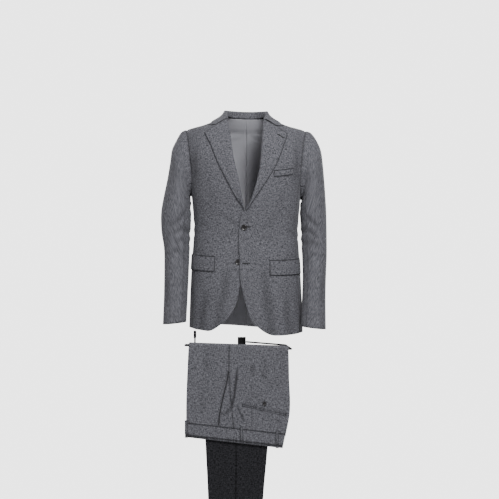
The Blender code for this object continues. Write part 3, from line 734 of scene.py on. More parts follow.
@dataclass(frozen=True)
class Worsted:
    """Fine grey melange worsted, a piece-dyed twill of light and dark wool fibres.

    The eye gets a dry, matt grey with salt and pepper grain and a faint soft halo at the edges.
    """

    name: str = "wool_worsted_melange_twill"
    dark: str = "#28282C"
    light: str = "#76767D"
    # Colour and strength of the painted shade at seams, turned edges and crease floors
    painted_shade: str = "#0B0B0D"
    painted_shade_share: float = 0.85
    halo: str = "#C9C9CF"
    # The real twill line is 0.6 mm apart; it is drawn 1.8 mm apart so that it shows at all
    twill_pitch: float = 0.0018
    # Fibre flecks are about 1 mm long on the real cloth, drawn 3.4 mm so that they show
    fleck: float = 0.0034
    # Uneven yarn shows as short bars along both threads, drawn 3 by 9 mm
    warp_bars: tuple[float, float, float] = (340.0, 110.0, 1.0)
    weft_bars: tuple[float, float, float] = (100.0, 330.0, 1.0)
    bar_share: float = 0.60
    # Clouds of lighter and darker dye, about 70 mm wide
    cloud_scale: float = 14.0

    def make(self) -> bpy.types.Material:
        """Build the material on the cloth's own thread coordinates."""
        recipe = Recipe(self.name)
        tree = recipe.tree
        uv = recipe.threads()
        flecks = recipe.noise(uv, 1 / self.fleck, 4.0, Roughness=0.72)
        warp, weft = (recipe.streaks(uv, bars, 2.0) for bars in (self.warp_bars, self.weft_bars))
        mottled = recipe.blend(self.bar_share, flecks, recipe.blend(0.5, warp, weft))
        melange = recipe.ramp(mottled, (0.40, self.dark), (0.60, self.light))
        shade = recipe.between(recipe.noise(uv, self.cloud_scale, 2.0), 0.94, 1.06)
        tinted = add_node(tree, "ShaderNodeHueSaturation", {}, {"Color": melange, "Value": shade})
        # Painted shade: the colour is darkened at seams, turned edges and the floors of creases
        painted_shade = add_node(tree, "ShaderNodeAttribute", {"attribute_name": "painted_shade"})
        links = {"Value": painted_shade.outputs["Fac"]}
        depth = add_node(tree, "ShaderNodeMapRange", {"To Max": self.painted_shade_share}, links)
        settings = {"data_type": "RGBA", 7: linear(self.painted_shade)}
        # This mix darkens the cloth's colour with the painted shade
        worn = add_node(tree, "ShaderNodeMix", settings, {0: depth.outputs[0], 6: tinted.outputs["Color"]})
        twill = recipe.bands(uv, self.twill_pitch, Distortion=1.2, Detail=1.0)
        return recipe.finish(
            {"Base Color": worn.outputs[2], "Roughness": recipe.between(mottled, 0.78, 0.92)},
            {
                "IOR": 1.54,
                "Specular IOR Level": 0.25,
                "Sheen Weight": 0.22,
                "Sheen Roughness": 0.45,
                "Sheen Tint": linear(self.halo),
            },
            (recipe.blend(0.55, twill, mottled), 0.35, 0.0006),
        )


@dataclass(frozen=True)
class LiningSatin:
    """Viscose lining satin in mid grey: a smooth warp face with a soft, long gleam."""

    name: str = "viscose_lining_satin"
    base: str = "#A8A8AE"
    shade: str = "#97979E"
    # Warp floats, drawn 1 by 17 mm
    floats: tuple[float, float, float] = (900.0, 60.0, 1.0)
    ripple_scale: float = 26.0

    def make(self) -> bpy.types.Material:
        """Build the material on the cloth's own thread coordinates."""
        recipe = Recipe(self.name)
        uv = recipe.threads()
        fine = recipe.streaks(uv, self.floats, 3.0)
        height = recipe.blend(0.8, fine, recipe.noise(uv, self.ripple_scale, 2.0))
        return recipe.finish(
            {"Base Color": recipe.tones(self.base, self.shade, fine)},
            {"Roughness": 0.42, "Sheen Weight": 0.1},
            (height, 0.35, 0.002),
        )


@dataclass(frozen=True)
class HornResin:
    """Polyester resin buttons, cast and turned to look like dark horn: cloudy, polished on the rim."""

    name: str = "polyester_resin_horn"
    dark: str = "#121114"
    light: str = "#3A3638"
    cloud_scale: float = 160.0

    def make(self) -> bpy.types.Material:
        """Build the material on object coordinates."""
        recipe = Recipe(self.name)
        cloud = recipe.noise(recipe.place(), self.cloud_scale, 4.0, Distortion=1.4)
        colour = recipe.ramp(cloud, (0.38, self.dark), (0.78, self.light))
        return recipe.finish(
            {"Base Color": colour, "Roughness": recipe.between(cloud, 0.22, 0.38)}, {"IOR": 1.55}
        )


@dataclass(frozen=True)
class SatinBlackSteel:
    """Steel rod with a satin black powder coat: a fine orange-peel skin and a wide soft highlight."""

    name: str = "powder_coated_steel_black"
    base: str = "#141416"
    worn: str = "#232326"
    # The skin of a powder coat waves about 0.8 mm apart, drawn 1.5 mm
    skin_scale: float = 660.0
    wear_scale: float = 45.0

    def make(self) -> bpy.types.Material:
        """Build the material on object coordinates."""
        recipe = Recipe(self.name)
        place = recipe.place()
        wear = recipe.noise(place, self.wear_scale, 5.0, Roughness=0.65)
        return recipe.finish(
            {
                "Base Color": recipe.tones(self.base, self.worn, wear),
                "Roughness": recipe.between(wear, 0.5, 0.64)
            },
            {"Specular IOR Level": 0.3},
            (recipe.noise(place, self.skin_scale, 2.0), 0.2, 0.0003),
        )


@dataclass(frozen=True)
class SewingThread:
    """Spun polyester sewing thread, two-ply: a matt strand with a fine twist."""

    name: str = "spun_polyester_thread"
    base: str = "#09090B"
    light: str = "#17171A"
    # The ply twists once every 0.9 mm or so
    twist: float = 0.0009

    def make(self) -> bpy.types.Material:
        """Build the material on object coordinates."""
        recipe = Recipe(self.name)
        ply = recipe.bands(recipe.place(), self.twist)
        return recipe.finish(
            {"Base Color": recipe.tones(self.base, self.light, ply)},
            {"Roughness": 0.7, "Sheen Weight": 0.15},
            (ply, 0.4, 0.0002),
        )


@dataclass(frozen=True)
class Finishes:
    """All finishes of the suit, made once."""

    wool: bpy.types.Material
    lining: bpy.types.Material
    horn: bpy.types.Material
    steel: bpy.types.Material
    thread: bpy.types.Material
    seam_thread: bpy.types.Material

    @classmethod
    def make(cls) -> "Finishes":
        """Build every material."""
        return cls(
            wool=Worsted().make(),
            lining=LiningSatin().make(),
            horn=HornResin().make(),
            steel=SatinBlackSteel().make(),
            thread=SewingThread().make(),
            seam_thread=SewingThread("spun_polyester_thread_grey", "#47474C", "#5C5C62").make(),
        )


def refined(rows: Sequence[Sequence[Vector]], per_row: int, per_column: int) -> list[list[Vector]]:
    """Fill a coarse grid of places along smooth curves through them.

    Args:
        rows: The coarse grid.
        per_row: How many steps each gap between two rows gets.
        per_column: How many steps each gap between two columns gets.

    Returns:
        The finer grid, which still has the coarse grid's places.
    """

    def fill(places: Sequence[Vector], per: int) -> list[Vector]:
        walked = running_lengths(places)
        table = tuple((s, *place) for s, place in zip(walked, places))
        ends = list(zip(walked, walked[1:]))
        stops = [a + (b - a) * k / per for a, b in ends for k in range(per)]
        return [Vector(read_table(table, s)) for s in stops + [walked[-1]]]

    wide = [fill(row, per_column) for row in rows]
    columns = [fill([row[i] for row in wide], per_row) for i in range(len(wide[0]))]
    return [[column[j] for column in columns] for j in range(len(columns[0]))]


def plain_knots(rows: Sequence[Sequence[Vector]]) -> Rows:
    """Give each place of a grid its own x and height as face coordinates."""
    return [[Knot(place, place.x, place.z) for place in row] for row in rows]


@dataclass
class JacketBody:
    """The fronts, the backs and the side bodies, cut and shaped to the chest and waist."""

    finishes: Finishes
    hem_z: float = -0.757
    hem_rise_at_side: float = 0.007
    back_hem_z: float = -0.749
    vent_top_z: float = -0.530
    corner_top_z: float = -0.715
    corner_share: float = 0.35
    facing: float = 0.075
    columns: int = 84
    seam_dip: float = 0.00026
    left_front_creases: tuple[Crease, ...] = (
        Crease(((0.034, -0.399), (0.070, -0.383), (0.112, -0.352)), -0.0011, 0.0100),
        Crease(((0.030, -0.408), (0.078, -0.425), (0.118, -0.452)), -0.0010, 0.0110),
        Crease(((0.172, -0.085), (0.178, -0.160), (0.172, -0.262)), -0.0020, 0.0120),
        Crease(((0.152, -0.205), (0.158, -0.285), (0.150, -0.372)), 0.0012, 0.0180),
        Crease(((0.060, -0.470), (0.069, -0.590), (0.088, -0.742)), -0.0022, 0.0190, full_at_end=True),
        Crease(((0.138, -0.590), (0.143, -0.670), (0.152, -0.748)), -0.0020, 0.0150, full_at_end=True),
        Crease(((0.010, -0.540), (0.022, -0.625), (0.044, -0.700)), 0.0012, 0.0130),
        Crease(((0.128, -0.388), (0.160, -0.402), (0.176, -0.420)), -0.0014, 0.0080),
    )
    right_front_creases: tuple[Crease, ...] = (
        Crease(((0.012, -0.396), (0.055, -0.374), (0.100, -0.338)), -0.0013, 0.0105),
        Crease(((0.010, -0.404), (0.060, -0.421), (0.108, -0.459)), -0.0011, 0.0095),
        Crease(((0.176, -0.098), (0.181, -0.175), (0.171, -0.268)), -0.0024, 0.0130),
        Crease(((0.150, -0.190), (0.159, -0.262), (0.149, -0.338)), 0.0013, 0.0170),
        Crease(((0.058, -0.498), (0.074, -0.610), (0.098, -0.748)), -0.0019, 0.0170, full_at_end=True),
        Crease(((0.140, -0.600), (0.150, -0.690), (0.156, -0.750)), -0.0023, 0.0130, full_at_end=True),
        Crease(((0.028, -0.560), (0.048, -0.640), (0.080, -0.712)), 0.0011, 0.0120),
        Crease(((0.120, -0.402), (0.152, -0.388), (0.174, -0.398)), -0.0013, 0.0075),
    )
    left_back_creases: tuple[Crease, ...] = (
        Crease(((0.158, -0.085), (0.165, -0.165), (0.156, -0.262)), -0.0026, 0.0140),
        Crease(((0.120, -0.120), (0.132, -0.210), (0.128, -0.300)), 0.0014, 0.0200),
        Crease(((0.022, -0.392), (0.080, -0.404), (0.138, -0.432)), -0.0017, 0.0110),
        Crease(((0.030, -0.360), (0.092, -0.350), (0.150, -0.326)), -0.0014, 0.0100),
        Crease(((0.075, -0.520), (0.082, -0.640), (0.086, -0.746)), -0.0026, 0.0210, full_at_end=True),
        Crease(((0.134, -0.600), (0.140, -0.690), (0.141, -0.746)), 0.0018, 0.0150, full_at_end=True),
        Crease(((0.010, -0.040), (0.042, -0.055), (0.078, -0.060)), -0.0011, 0.0080),
    )
    right_back_creases: tuple[Crease, ...] = (
        Crease(((0.160, -0.096), (0.168, -0.180), (0.158, -0.250)), -0.0022, 0.0130),
        Crease(((0.112, -0.140), (0.128, -0.222), (0.122, -0.318)), 0.0016, 0.0210),
        Crease(((0.018, -0.414), (0.070, -0.421), (0.126, -0.452)), -0.0013, 0.0095),
        Crease(((0.024, -0.374), (0.084, -0.362), (0.146, -0.344)), -0.0018, 0.0115),
        Crease(((0.060, -0.545), (0.064, -0.650), (0.072, -0.746)), -0.0023, 0.0190, full_at_end=True),
        Crease(((0.128, -0.630), (0.131, -0.700), (0.138, -0.746)), 0.0016, 0.0140, full_at_end=True),
        Crease(((0.012, -0.047), (0.050, -0.062), (0.090, -0.066)), -0.0010, 0.0085),
    )
    side_creases: tuple[Crease, ...] = (
        Crease(((-0.040, -0.372), (0.000, -0.392), (0.038, -0.380)), -0.0018, 0.0100),
        Crease(((-0.036, -0.428), (0.004, -0.418), (0.034, -0.434)), -0.0013, 0.0085),
        Crease(((0.008, -0.500), (0.004, -0.610), (0.010, -0.742)), -0.0014, 0.0150, full_at_end=True),
    )

    def heights(self, foot: float, top: float) -> list[float]:
        """Return the heights of the rows, closer together near the shoulder."""
        return steps_between((foot, -0.36, -0.27), 0.0050) + [
            *steps_between((-0.27, -0.085), 0.0042)[1:],
            *steps_between((-0.085, -0.062, top), 0.0020)[1:],
        ]

    def front(self, side: Side, edge: Table, creases: Sequence[Crease]) -> bpy.types.Object:
        """Make one front, from its edge and roll line to the armhole and the side seam.

        Args:
            side: The wearer's side.
            edge: Where its front edge runs.
            creases: Its folds.

        Returns:
            The front, standing for its solid.
        """
        low_top = -0.70
        plan = [("hem", share) for share in spread(0.0, 0.94, 14)]
        plan += [("level", z) for z in self.heights(low_top, 0.003)]
        rows: Rows = []
        for kind, level in plan:
            row = []
            for u in spread(0.0, 1.0, self.columns):
                z = level
                if kind == "hem":
                    corner = (self.corner_top_z - self.hem_z) * max(1 - u / self.corner_share, 0.0) ** 2.3
                    bottom = self.hem_z + corner + self.hem_rise_at_side * u**2
                    z = bottom + (low_top - bottom) * level
                inner = TORSO.angle_at(read_table(edge, z)[0], z)
                angle = inner + (TORSO.panel_edge(z, True) - SEAM_TURN - inner) * u
                place = TORSO.point(angle, z)
                point = TORSO.worn(angle, z, TORSO.crossing(place.x, z, side), side)
                row.append(Knot(point, place.x, z))
            rows.append(row)
        cloth = Cloth(
            f"front_{side.label}_cloth",
            rows,
            JACKET_WALL,
            self.finishes.wool,
            self.finishes.lining,
            away_from_middle,
            creases,
            Turned(end=self.seam_dip),
            facing_width=self.facing,
        )
        item = thin(cloth.build(), f"front_{side.label}")
        return item

    def back(self, side: Side, creases: Sequence[Crease]) -> bpy.types.Object:
        """Make one half of the back, from the centre seam to the armhole and the side vent.

        Args:
            side: The wearer's side.
            creases: Its folds.

        Returns:
            The half back, standing for its solid.
        """
        vent_flare = 0.004
        rows: Rows = []
        for z in self.heights(self.back_hem_z, 0.002):
            row = []
            for u in spread(0.0, 1.0, 64):
                centre = math.pi - SEAM_TURN
                angle = centre + (TORSO.panel_edge(z, False) + SEAM_TURN - centre) * u
                vent = vent_flare * u**6 * ease((self.vent_top_z - z) / 0.12)
                place = TORSO.point(angle, z) + vent * TORSO.normal(angle, z)
                across = place.x
                place.x = (place.x if u > 0 else CLOSED) * side.value
                place.z -= TORSO.lean(place.x, z)
                row.append(Knot(place, across, z))
            rows.append(row)
        cloth = Cloth(
            f"back_{side.label}_cloth",
            rows,
            JACKET_WALL,
            self.finishes.wool,
            self.finishes.lining,
            away_from_middle,
            creases,
            Turned(start=self.seam_dip, end=self.seam_dip),
        )
        item = thin(cloth.build(), f"back_{side.label}")
        return item

    def side_body(self, side: Side) -> bpy.types.Object:
        """Make the side body under the arm and return it, standing for its solid."""
        vent_tuck = 0.0035
        rows: Rows = []
        first, last = TORSO.front_seam + SEAM_TURN, TORSO.back_seam - SEAM_TURN
        for level in spread(0.0, 1.0, 96):
            row = []
            for u in spread(0.0, 1.0, 34):
                angle = first + (last - first) * u
                bottom = self.back_hem_z - 0.001 + 0.004 * u
                z = bottom + (TORSO.armhole_foot(angle) - bottom) * level
                tuck = -vent_tuck * max(u - 0.6, 0.0) / 0.4 * ease((self.vent_top_z - z) / 0.10)
                point = TORSO.worn(angle, z, tuck, side)
                row.append(Knot(point, point.y, z))
            rows.append(row)
        cloth = Cloth(
            f"side_body_{side.label}_cloth",
            rows,
            JACKET_WALL,
            self.finishes.wool,
            self.finishes.lining,
            away_from_middle,
            self.side_creases,
            Turned(start=self.seam_dip, end=self.seam_dip, last=self.seam_dip),
        )
        item = thin(cloth.build(), f"side_body_{side.label}")
        return item

    def build(self) -> list[bpy.types.Object]:
        """Make all six body pieces and return them."""
        made = [
            self.front(Side.LEFT, LEFT_EDGE, self.left_front_creases),
            self.front(Side.RIGHT, RIGHT_EDGE, self.right_front_creases),
            self.back(Side.LEFT, self.left_back_creases),
            self.back(Side.RIGHT, self.right_back_creases),
        ]
        return made + [self.side_body(side) for side in Side]


# A sleeve's mean radius, by which turns become distances across it
SLEEVE_RADIUS = 0.052


def on_sleeve(points: Sequence[tuple[float, float]], depth: float, reach: float, **ends: bool) -> Crease:
    """Make a crease from turns in degrees and heights on a sleeve."""
    return Crease(tuple((math.radians(turn) * SLEEVE_RADIUS, z) for turn, z in points), depth, reach, **ends)


LEFT_SLEEVE_CREASES = (
    on_sleeve(((126, -0.352), (96, -0.372), (58, -0.404)), -0.0022, 0.0095, full_at_start=True),
    on_sleeve(((127, -0.398), (104, -0.408), (74, -0.432)), -0.0026, 0.0085, full_at_start=True),
    on_sleeve(((127, -0.446), (100, -0.441), (66, -0.458)), -0.0018, 0.0090, full_at_start=True),
    on_sleeve(((124, -0.500), (98, -0.484), (70, -0.486)), -0.0014, 0.0080, full_at_start=True),
    on_sleeve(((104, -0.080), (108, -0.150), (116, -0.252)), -0.0024, 0.0100),
    on_sleeve(((78, -0.104), (80, -0.190), (92, -0.300)), 0.0014, 0.0150),
    on_sleeve(((40, -0.520), (52, -0.600), (50, -0.700)), -0.0012, 0.0140),
    on_sleeve(((-98, -0.372), (-74, -0.396), (-36, -0.402)), -0.0020, 0.0110),
    on_sleeve(((-99, -0.430), (-66, -0.436), (-30, -0.452)), -0.0016, 0.0100),
    on_sleeve(((-92, -0.100), (-84, -0.170), (-88, -0.260)), -0.0024, 0.0120),
    on_sleeve(((-20, -0.250), (-12, -0.330), (-24, -0.420)), 0.0012, 0.0170),
)
RIGHT_SLEEVE_CREASES = (
    on_sleeve(((126, -0.340), (100, -0.366), (62, -0.392)), -0.0019, 0.0100, full_at_start=True),
    on_sleeve(((127, -0.386), (100, -0.404), (66, -0.414)), -0.0027, 0.0090, full_at_start=True),
    on_sleeve(((127, -0.431), (108, -0.434), (84, -0.452)), -0.0021, 0.0080, full_at_start=True),
    on_sleeve(((125, -0.482), (96, -0.470), (60, -0.476)), -0.0016, 0.0095, full_at_start=True),
    on_sleeve(((106, -0.072), (112, -0.136), (118, -0.238)), -0.0026, 0.0105),
    on_sleeve(((80, -0.092), (84, -0.176), (96, -0.270)), 0.0015, 0.0140),
    on_sleeve(((34, -0.540), (44, -0.610), (46, -0.690)), -0.0013, 0.0130),
    on_sleeve(((-99, -0.362), (-70, -0.380), (-42, -0.394)), -0.0022, 0.0100),
    on_sleeve(((-98, -0.418), (-72, -0.430), (-34, -0.428)), -0.0015, 0.0110),
    on_sleeve(((-94, -0.094), (-88, -0.160), (-90, -0.244)), -0.0022, 0.0110),
    on_sleeve(((-14, -0.228), (-8, -0.320), (-18, -0.388)), 0.0013, 0.0160),
)
UNDER_CREASES = (
    on_sleeve(((132, -0.398), (180, -0.412), (236, -0.404)), -0.0024, 0.0100, full_at_start=True),
    on_sleeve(((132, -0.446), (176, -0.448), (222, -0.440)), -0.0018, 0.0090, full_at_start=True),
    on_sleeve(((150, -0.300), (186, -0.322), (214, -0.318)), -0.0016, 0.0090),
)


@dataclass
class Sleeves:
    """The two-piece sleeves, each a top sleeve and an under sleeve on the same rings."""

    finishes: Finishes
    front_seam: float = math.radians(128)
    back_seam: float = math.radians(-104)
    roundness: float = 2.15
    rows_per_ring: int = 11
    seam_dip: float = 0.00012
    head_dip: float = 0.00022

    def ring_point(self, ring: Sequence[float], turn: float, side: Side) -> Vector:
        """Return a place on one ring of a sleeve.

        Args:
            ring: Outer x, outer z, inner x, inner z, half depth and centre y.
            turn: Angle round the sleeve, 0 outside and 90 in front.
            side: The wearer's side.

        Returns:
            The place in the row frame.
        """
        outer_x, outer_z, inner_x, inner_z, half_depth, centre_y = ring
        across = power(math.cos(turn), 2 / self.roundness)
        x = 0.5 * (outer_x + inner_x) + 0.5 * (outer_x - inner_x) * across
        z = 0.5 * (outer_z + inner_z) + 0.5 * (outer_z - inner_z) * across
        y = centre_y - half_depth * power(math.sin(turn), 2 / self.roundness)
        return Vector((x * side.value, y, z))

    def panel(
        self, name: str, side: Side, table: Table, first: float, last: float, steps: int, creases: Sequence[
            Crease
        ]
    ) -> bpy.types.Object:
        """Make one half of a sleeve between two of its seams.

        Args:
            name: Name of the solid that it stands for.
            side: The wearer's side.
            table: The sleeve's rings.
            first: Turn of its first seam.
            last: Turn of its last seam.
            steps: How many columns it has.
            creases: Its folds.

        Returns:
            The panel, standing for its solid.
        """
        gap = CLOSED / SLEEVE_RADIUS
        head = JACKET_WALL / 2
        columns = []
        for turn in spread(first + gap, last - gap, steps):
            lifted = Vector((0, 0, 0.0004 * max(math.cos(turn), 0)))
            stops = [
                TORSO.armhole_point(turn, side, head), TORSO.armhole_point(turn, side, head + 0.007) + lifted
            ]
            stops += [self.ring_point(ring, turn, side) for ring in table]
            walked = running_lengths(stops)
            places = tuple((s, *stop) for s, stop in zip(walked, stops))
            column = []
            for k, (a, b) in enumerate(zip(walked, walked[1:])):
                per = 4 if k < 1 else self.rows_per_ring
                column += [a + (b - a) * i / per for i in range(per)]
            columns.append([(Vector(read_table(places, s)), turn) for s in column + [walked[-1]]])
        rows: Rows = [
            [Knot(place, turn * SLEEVE_RADIUS, place.z) for place, turn in (column[j] for column in columns)]
            for j in range(len(columns[0]))
        ]
        middle = 0.24 * side.value

        def outwards(place: Vector) -> Vector:
            return Vector((place.x - middle, place.y + 0.03, 0.0))

        cloth = Cloth(
            f"{name}_cloth",
            rows,
            JACKET_WALL,
            self.finishes.wool,
            self.finishes.lining,
            outwards,
            creases,
            Turned(start=self.seam_dip, end=self.seam_dip, first=self.head_dip),
        )
        return thin(cloth.build(), name)

    def build(self) -> list[bpy.types.Object]:
        """Make the four sleeve pieces and return them."""
        made = []
        for side, table, creases in (
            (Side.LEFT, LEFT_SLEEVE, LEFT_SLEEVE_CREASES),
            (Side.RIGHT, RIGHT_SLEEVE, RIGHT_SLEEVE_CREASES),
        ):
            top = self.panel(
                f"sleeve_top_{side.label}", side, table, self.back_seam, self.front_seam, 66, creases
            )
            last = self.back_seam + 2 * math.pi
            under = self.panel(
                f"sleeve_under_{side.label}", side, table, self.front_seam, last, 40, UNDER_CREASES
            )
            made += [top, under]
        return made


@dataclass
class LapelsAndCollar:
    """The two turned lapels and the collar that meets them at the notches."""

    finishes: Finishes
    foot: float = -0.330
    gorge: float = -0.018
    corner: tuple[float, float] = (0.1300, -0.0370)
    notch: tuple[float, float] = (0.1175, -0.0452)

    def lapel(self, side: Side, edge: Table, outer: Table) -> bpy.types.Object:
        """Make a lapel that rolls over the front's edge and lies on the chest.

        Args:
            side: The wearer's side.
            edge: Where the front's own edge runs.
            outer: The lapel's outer edge.

        Returns:
            The lapel, standing for its solid.
        """
        corners = [Vector((x, 0.0, z)) for x, z in outer]
        reach = running_lengths(corners)
        outline = tuple((s / reach[-1], p.x, p.z) for s, p in zip(reach, corners))
        shape = tuple((k, near, u, out) for k, (near, u, out) in enumerate(LAPEL_SHAPE))
        rows: Rows = []
        for v in spread(0.0, 1.0, 120):
            z_roll = self.foot + (self.gorge - self.foot) * v
            x_roll = read_table(edge, z_roll)[0] - 2 * SEAM_GAP
            edge_x, edge_z = read_table(outline, v)
            row = []
            for k in spread(0.0, 2.0, 12)[:-1] + spread(2.0, 6.0, 34):
                near, _, out = read_table(shape, k)
                low = int(min(k, 5.0))
                u = shape[low][2] + (shape[low + 1][2] - shape[low][2]) * (k - low)
                x = x_roll + near + (edge_x - x_roll) * u
                z = z_roll + (edge_z - z_roll) * u
                out += 0.0011 * math.sin(math.pi * min(u / 0.6, 1.0)) * ease((-z_roll - 0.03) / 0.2)
                angle = TORSO.angle_at(x, z)
                raised = out + TORSO.crossing(TORSO.point(angle, z).x, z, side)
                row.append(Knot(TORSO.worn(angle, z, raised, side), x, z))
            rows.append(row)
        cloth = Cloth(
            f"lapel_{side.label}_cloth",
            rows,
            LAPEL_WALL,
            self.finishes.wool,
            self.finishes.wool,
            away_from_middle,
            (),
            Turned(end=0.0004, last=0.0004, reach=0.0030),
            grain=8.0 * side.value,
        )
        item = thin(cloth.build(), f"lapel_{side.label}")
        return item

    def gorge_row(self) -> list[Vector]:
        """Return the collar's front end: along the gorge to the notch and up to its corner."""
        z_roll = self.gorge + 0.0022
        x_roll = read_table(LEFT_EDGE, z_roll)[0]
        places = (
            (x_roll - 0.0030, z_roll, -0.0034),
            (x_roll - 0.0034, z_roll, -0.0012),
            (x_roll - 0.0034, z_roll, 0.0014),
            (x_roll - 0.0020, z_roll, 0.0040),
            (x_roll + 0.0030, z_roll - 0.001, 0.0058),
            (0.0850, -0.0255, 0.0054),
            (self.notch[0] - 0.012, self.notch[1] + 0.0075, 0.0044),
            (*self.corner, 0.0040),
        )
        row = []
        for x, z, out in places:
            angle = TORSO.angle_at(x, z)
            row.append(TORSO.point(angle, z) + out * TORSO.normal(angle, z))
        return row

    def half(self, side: Side) -> list[list[Vector]]:
        """Return the collar's cross rows on one side, from the centre back to the gorge."""
        rows = []
        for fx, fy, fz, ex, ey, ez, drop, inset in COLLAR_STATIONS:
            fold = Vector((fx, fy, fz))
            edge = Vector((ex, ey, ez))
            away = Vector((edge.x - fold.x, edge.y - fold.y, 0)).normalized()
            seam = fold - Vector((0, 0, drop)) - inset * away
            inside = fold - Vector((0, 0, 0.005)) - 0.0030 * away
            outside = fold + 0.0030 * away - Vector((0, 0, 0.0012))
            row = [seam, seam.lerp(inside, 0.5), inside, fold, outside]
            reach = math.hypot(edge.x - fold.x, edge.y - fold.y)
            bow = max(0.0045 - 0.36 * (reach - 0.0085), -0.006)
            row += [outside.lerp(edge, t) + bow * math.sin(math.pi * t) * away for t in (0.33, 0.67)]
            rows.append(row + [edge])
        rows.append(self.gorge_row())
        for row in rows:
            for point in row:
                point.x *= side.value
                point.z -= TORSO.lean(point.x, point.z)
        return rows

    def collar(self) -> bpy.types.Object:
        """Make the whole collar: stand, fold and fall round the back of the neck."""
        coarse = list(reversed(self.half(Side.RIGHT)))[:-1] + self.half(Side.LEFT)
        fine = refined(coarse, 11, 6)
        cloth = Cloth(
            "collar_cloth",
            plain_knots(fine),
            LAPEL_WALL,
            self.finishes.wool,
            self.finishes.wool,
            lambda place: Vector((place.x, place.y, 0.3)),
            (),
            Turned(start=0.0004, first=0.0002, last=0.0002, reach=0.0022),
        )
        item = thin(cloth.build(), "collar")
        return item

    def build(self) -> list[bpy.types.Object]:
        """Make the lapels and the collar and return them."""
        return [
            self.lapel(Side.LEFT, LEFT_EDGE, LEFT_LAPEL_EDGE),
            self.lapel(Side.RIGHT, RIGHT_EDGE, RIGHT_LAPEL_EDGE),
            self.collar(),
        ]


@dataclass
class JacketPockets:
    """The two hip pocket flaps and the breast welt."""

    finishes: Finishes
    corner_round: float = 0.0045

    def patch(
        self, name: str, side: Side, angles: tuple[
            float, float
        ], tops: tuple[float, float], depth: float, out: float
    ) -> bpy.types.Object:
        """Make a piece of cloth that lies on the body between two angles.

        Args:
            name: Name of the solid that it stands for.
            side: The wearer's side.
            angles: The angles of its two ends.
            tops: The heights of its top at these ends.
            depth: How far it hangs down.
            out: How far it stands off the body.

        Returns:
            The patch, standing for its solid.
        """
        rows: Rows = []
        width = (TORSO.point(angles[1], tops[1]) - TORSO.point(angles[0], tops[0])).length
        for v in spread(1.0, 0.0, 26):
            row = []
            for u in spread(0.0, 1.0, 60):
                from_end = min(u, 1.0 - u) * width
                bow = 0.0
                if from_end < self.corner_round:
                    left = 1.0 - from_end / self.corner_round
                    bow = self.corner_round * (1.0 - math.sqrt(1.0 - left * left))
                angle = angles[0] + (angles[1] - angles[0]) * u
                z = tops[0] + (tops[1] - tops[0]) * u - (depth - bow) * v
                crown = 0.0007 * math.sin(math.pi * v) * math.sin(math.pi * u)
                point = TORSO.worn(angle, z, out + crown, side)
                row.append(Knot(point, u, v))
            rows.append(row)
        cloth = Cloth(
            f"{name}_cloth",
            rows,
            JACKET_WALL,
            self.finishes.wool,
            self.finishes.lining,
            away_from_middle,
            (),
            Turned(start=0.0004, end=0.0004, first=0.0004, last=0.0010, reach=0.0024),
        )
        return thin(cloth.build(), name)

    def build(self) -> list[bpy.types.Object]:
        """Make the flaps and the welt and return them."""
        out = JACKET_WALL + 4 * SEAM_GAP
        left = (TORSO.angle_at(0.081, -0.50), math.radians(82))
        right = (TORSO.angle_at(0.1055, -0.50), math.radians(93))
        welt = (TORSO.angle_at(0.0965, -0.19), TORSO.angle_at(0.1640, -0.19))
        flap_left = self.patch("flap_left", Side.LEFT, left, (-0.497, -0.489), 0.054, out)
        flap_right = self.patch("flap_right", Side.RIGHT, right, (-0.498, -0.490), 0.054, out)
        breast = self.patch(
            "breast_welt", Side.LEFT, welt, (-0.1925, -0.1815), 0.0225, JACKET_WALL + 2 * SEAM_GAP
        )
        return [flap_left, flap_right, breast]


@dataclass(frozen=True)
class Rail:
    """Where the cloth hangs: the bar of the trouser rail and the layers of cloth over it."""

    y: float = -0.150
    z: float = -0.8003
    slope: float = -0.034
    radius: float = 0.003
    first_layer: float = 0.0044
    pitch: float = 0.0021

    def height(self, x: float) -> float:
        """Return the height of the bar's centre line."""
        return self.z + self.slope * x

    def layer(self, number: int) -> float:
        """Return the distance of a layer of cloth from the bar's centre line."""
        return self.first_layer + self.pitch * number

    def hung(self, x: float, s: float, radius: float) -> Vector:
        """Return a place on a layer that hangs over the bar.

        Args:
            x: Place along the bar.
            s: Distance from the top of the bar, minus in front.
            radius: The layer's distance from the bar's centre line.

        Returns:
            The place in the row frame.
        """
        quarter = 0.5 * math.pi * radius
        if abs(s) < quarter:
            turn = s / radius
            return Vector((x, self.y + radius * math.sin(turn), self.height(x) + radius * math.cos(turn)))
        side = math.copysign(1.0, s)
        return Vector((x, self.y + side * radius, self.height(x) - (abs(s) - quarter)))


RAIL = Rail()
# A face coordinate that no crease reaches
HIDDEN = 10.0


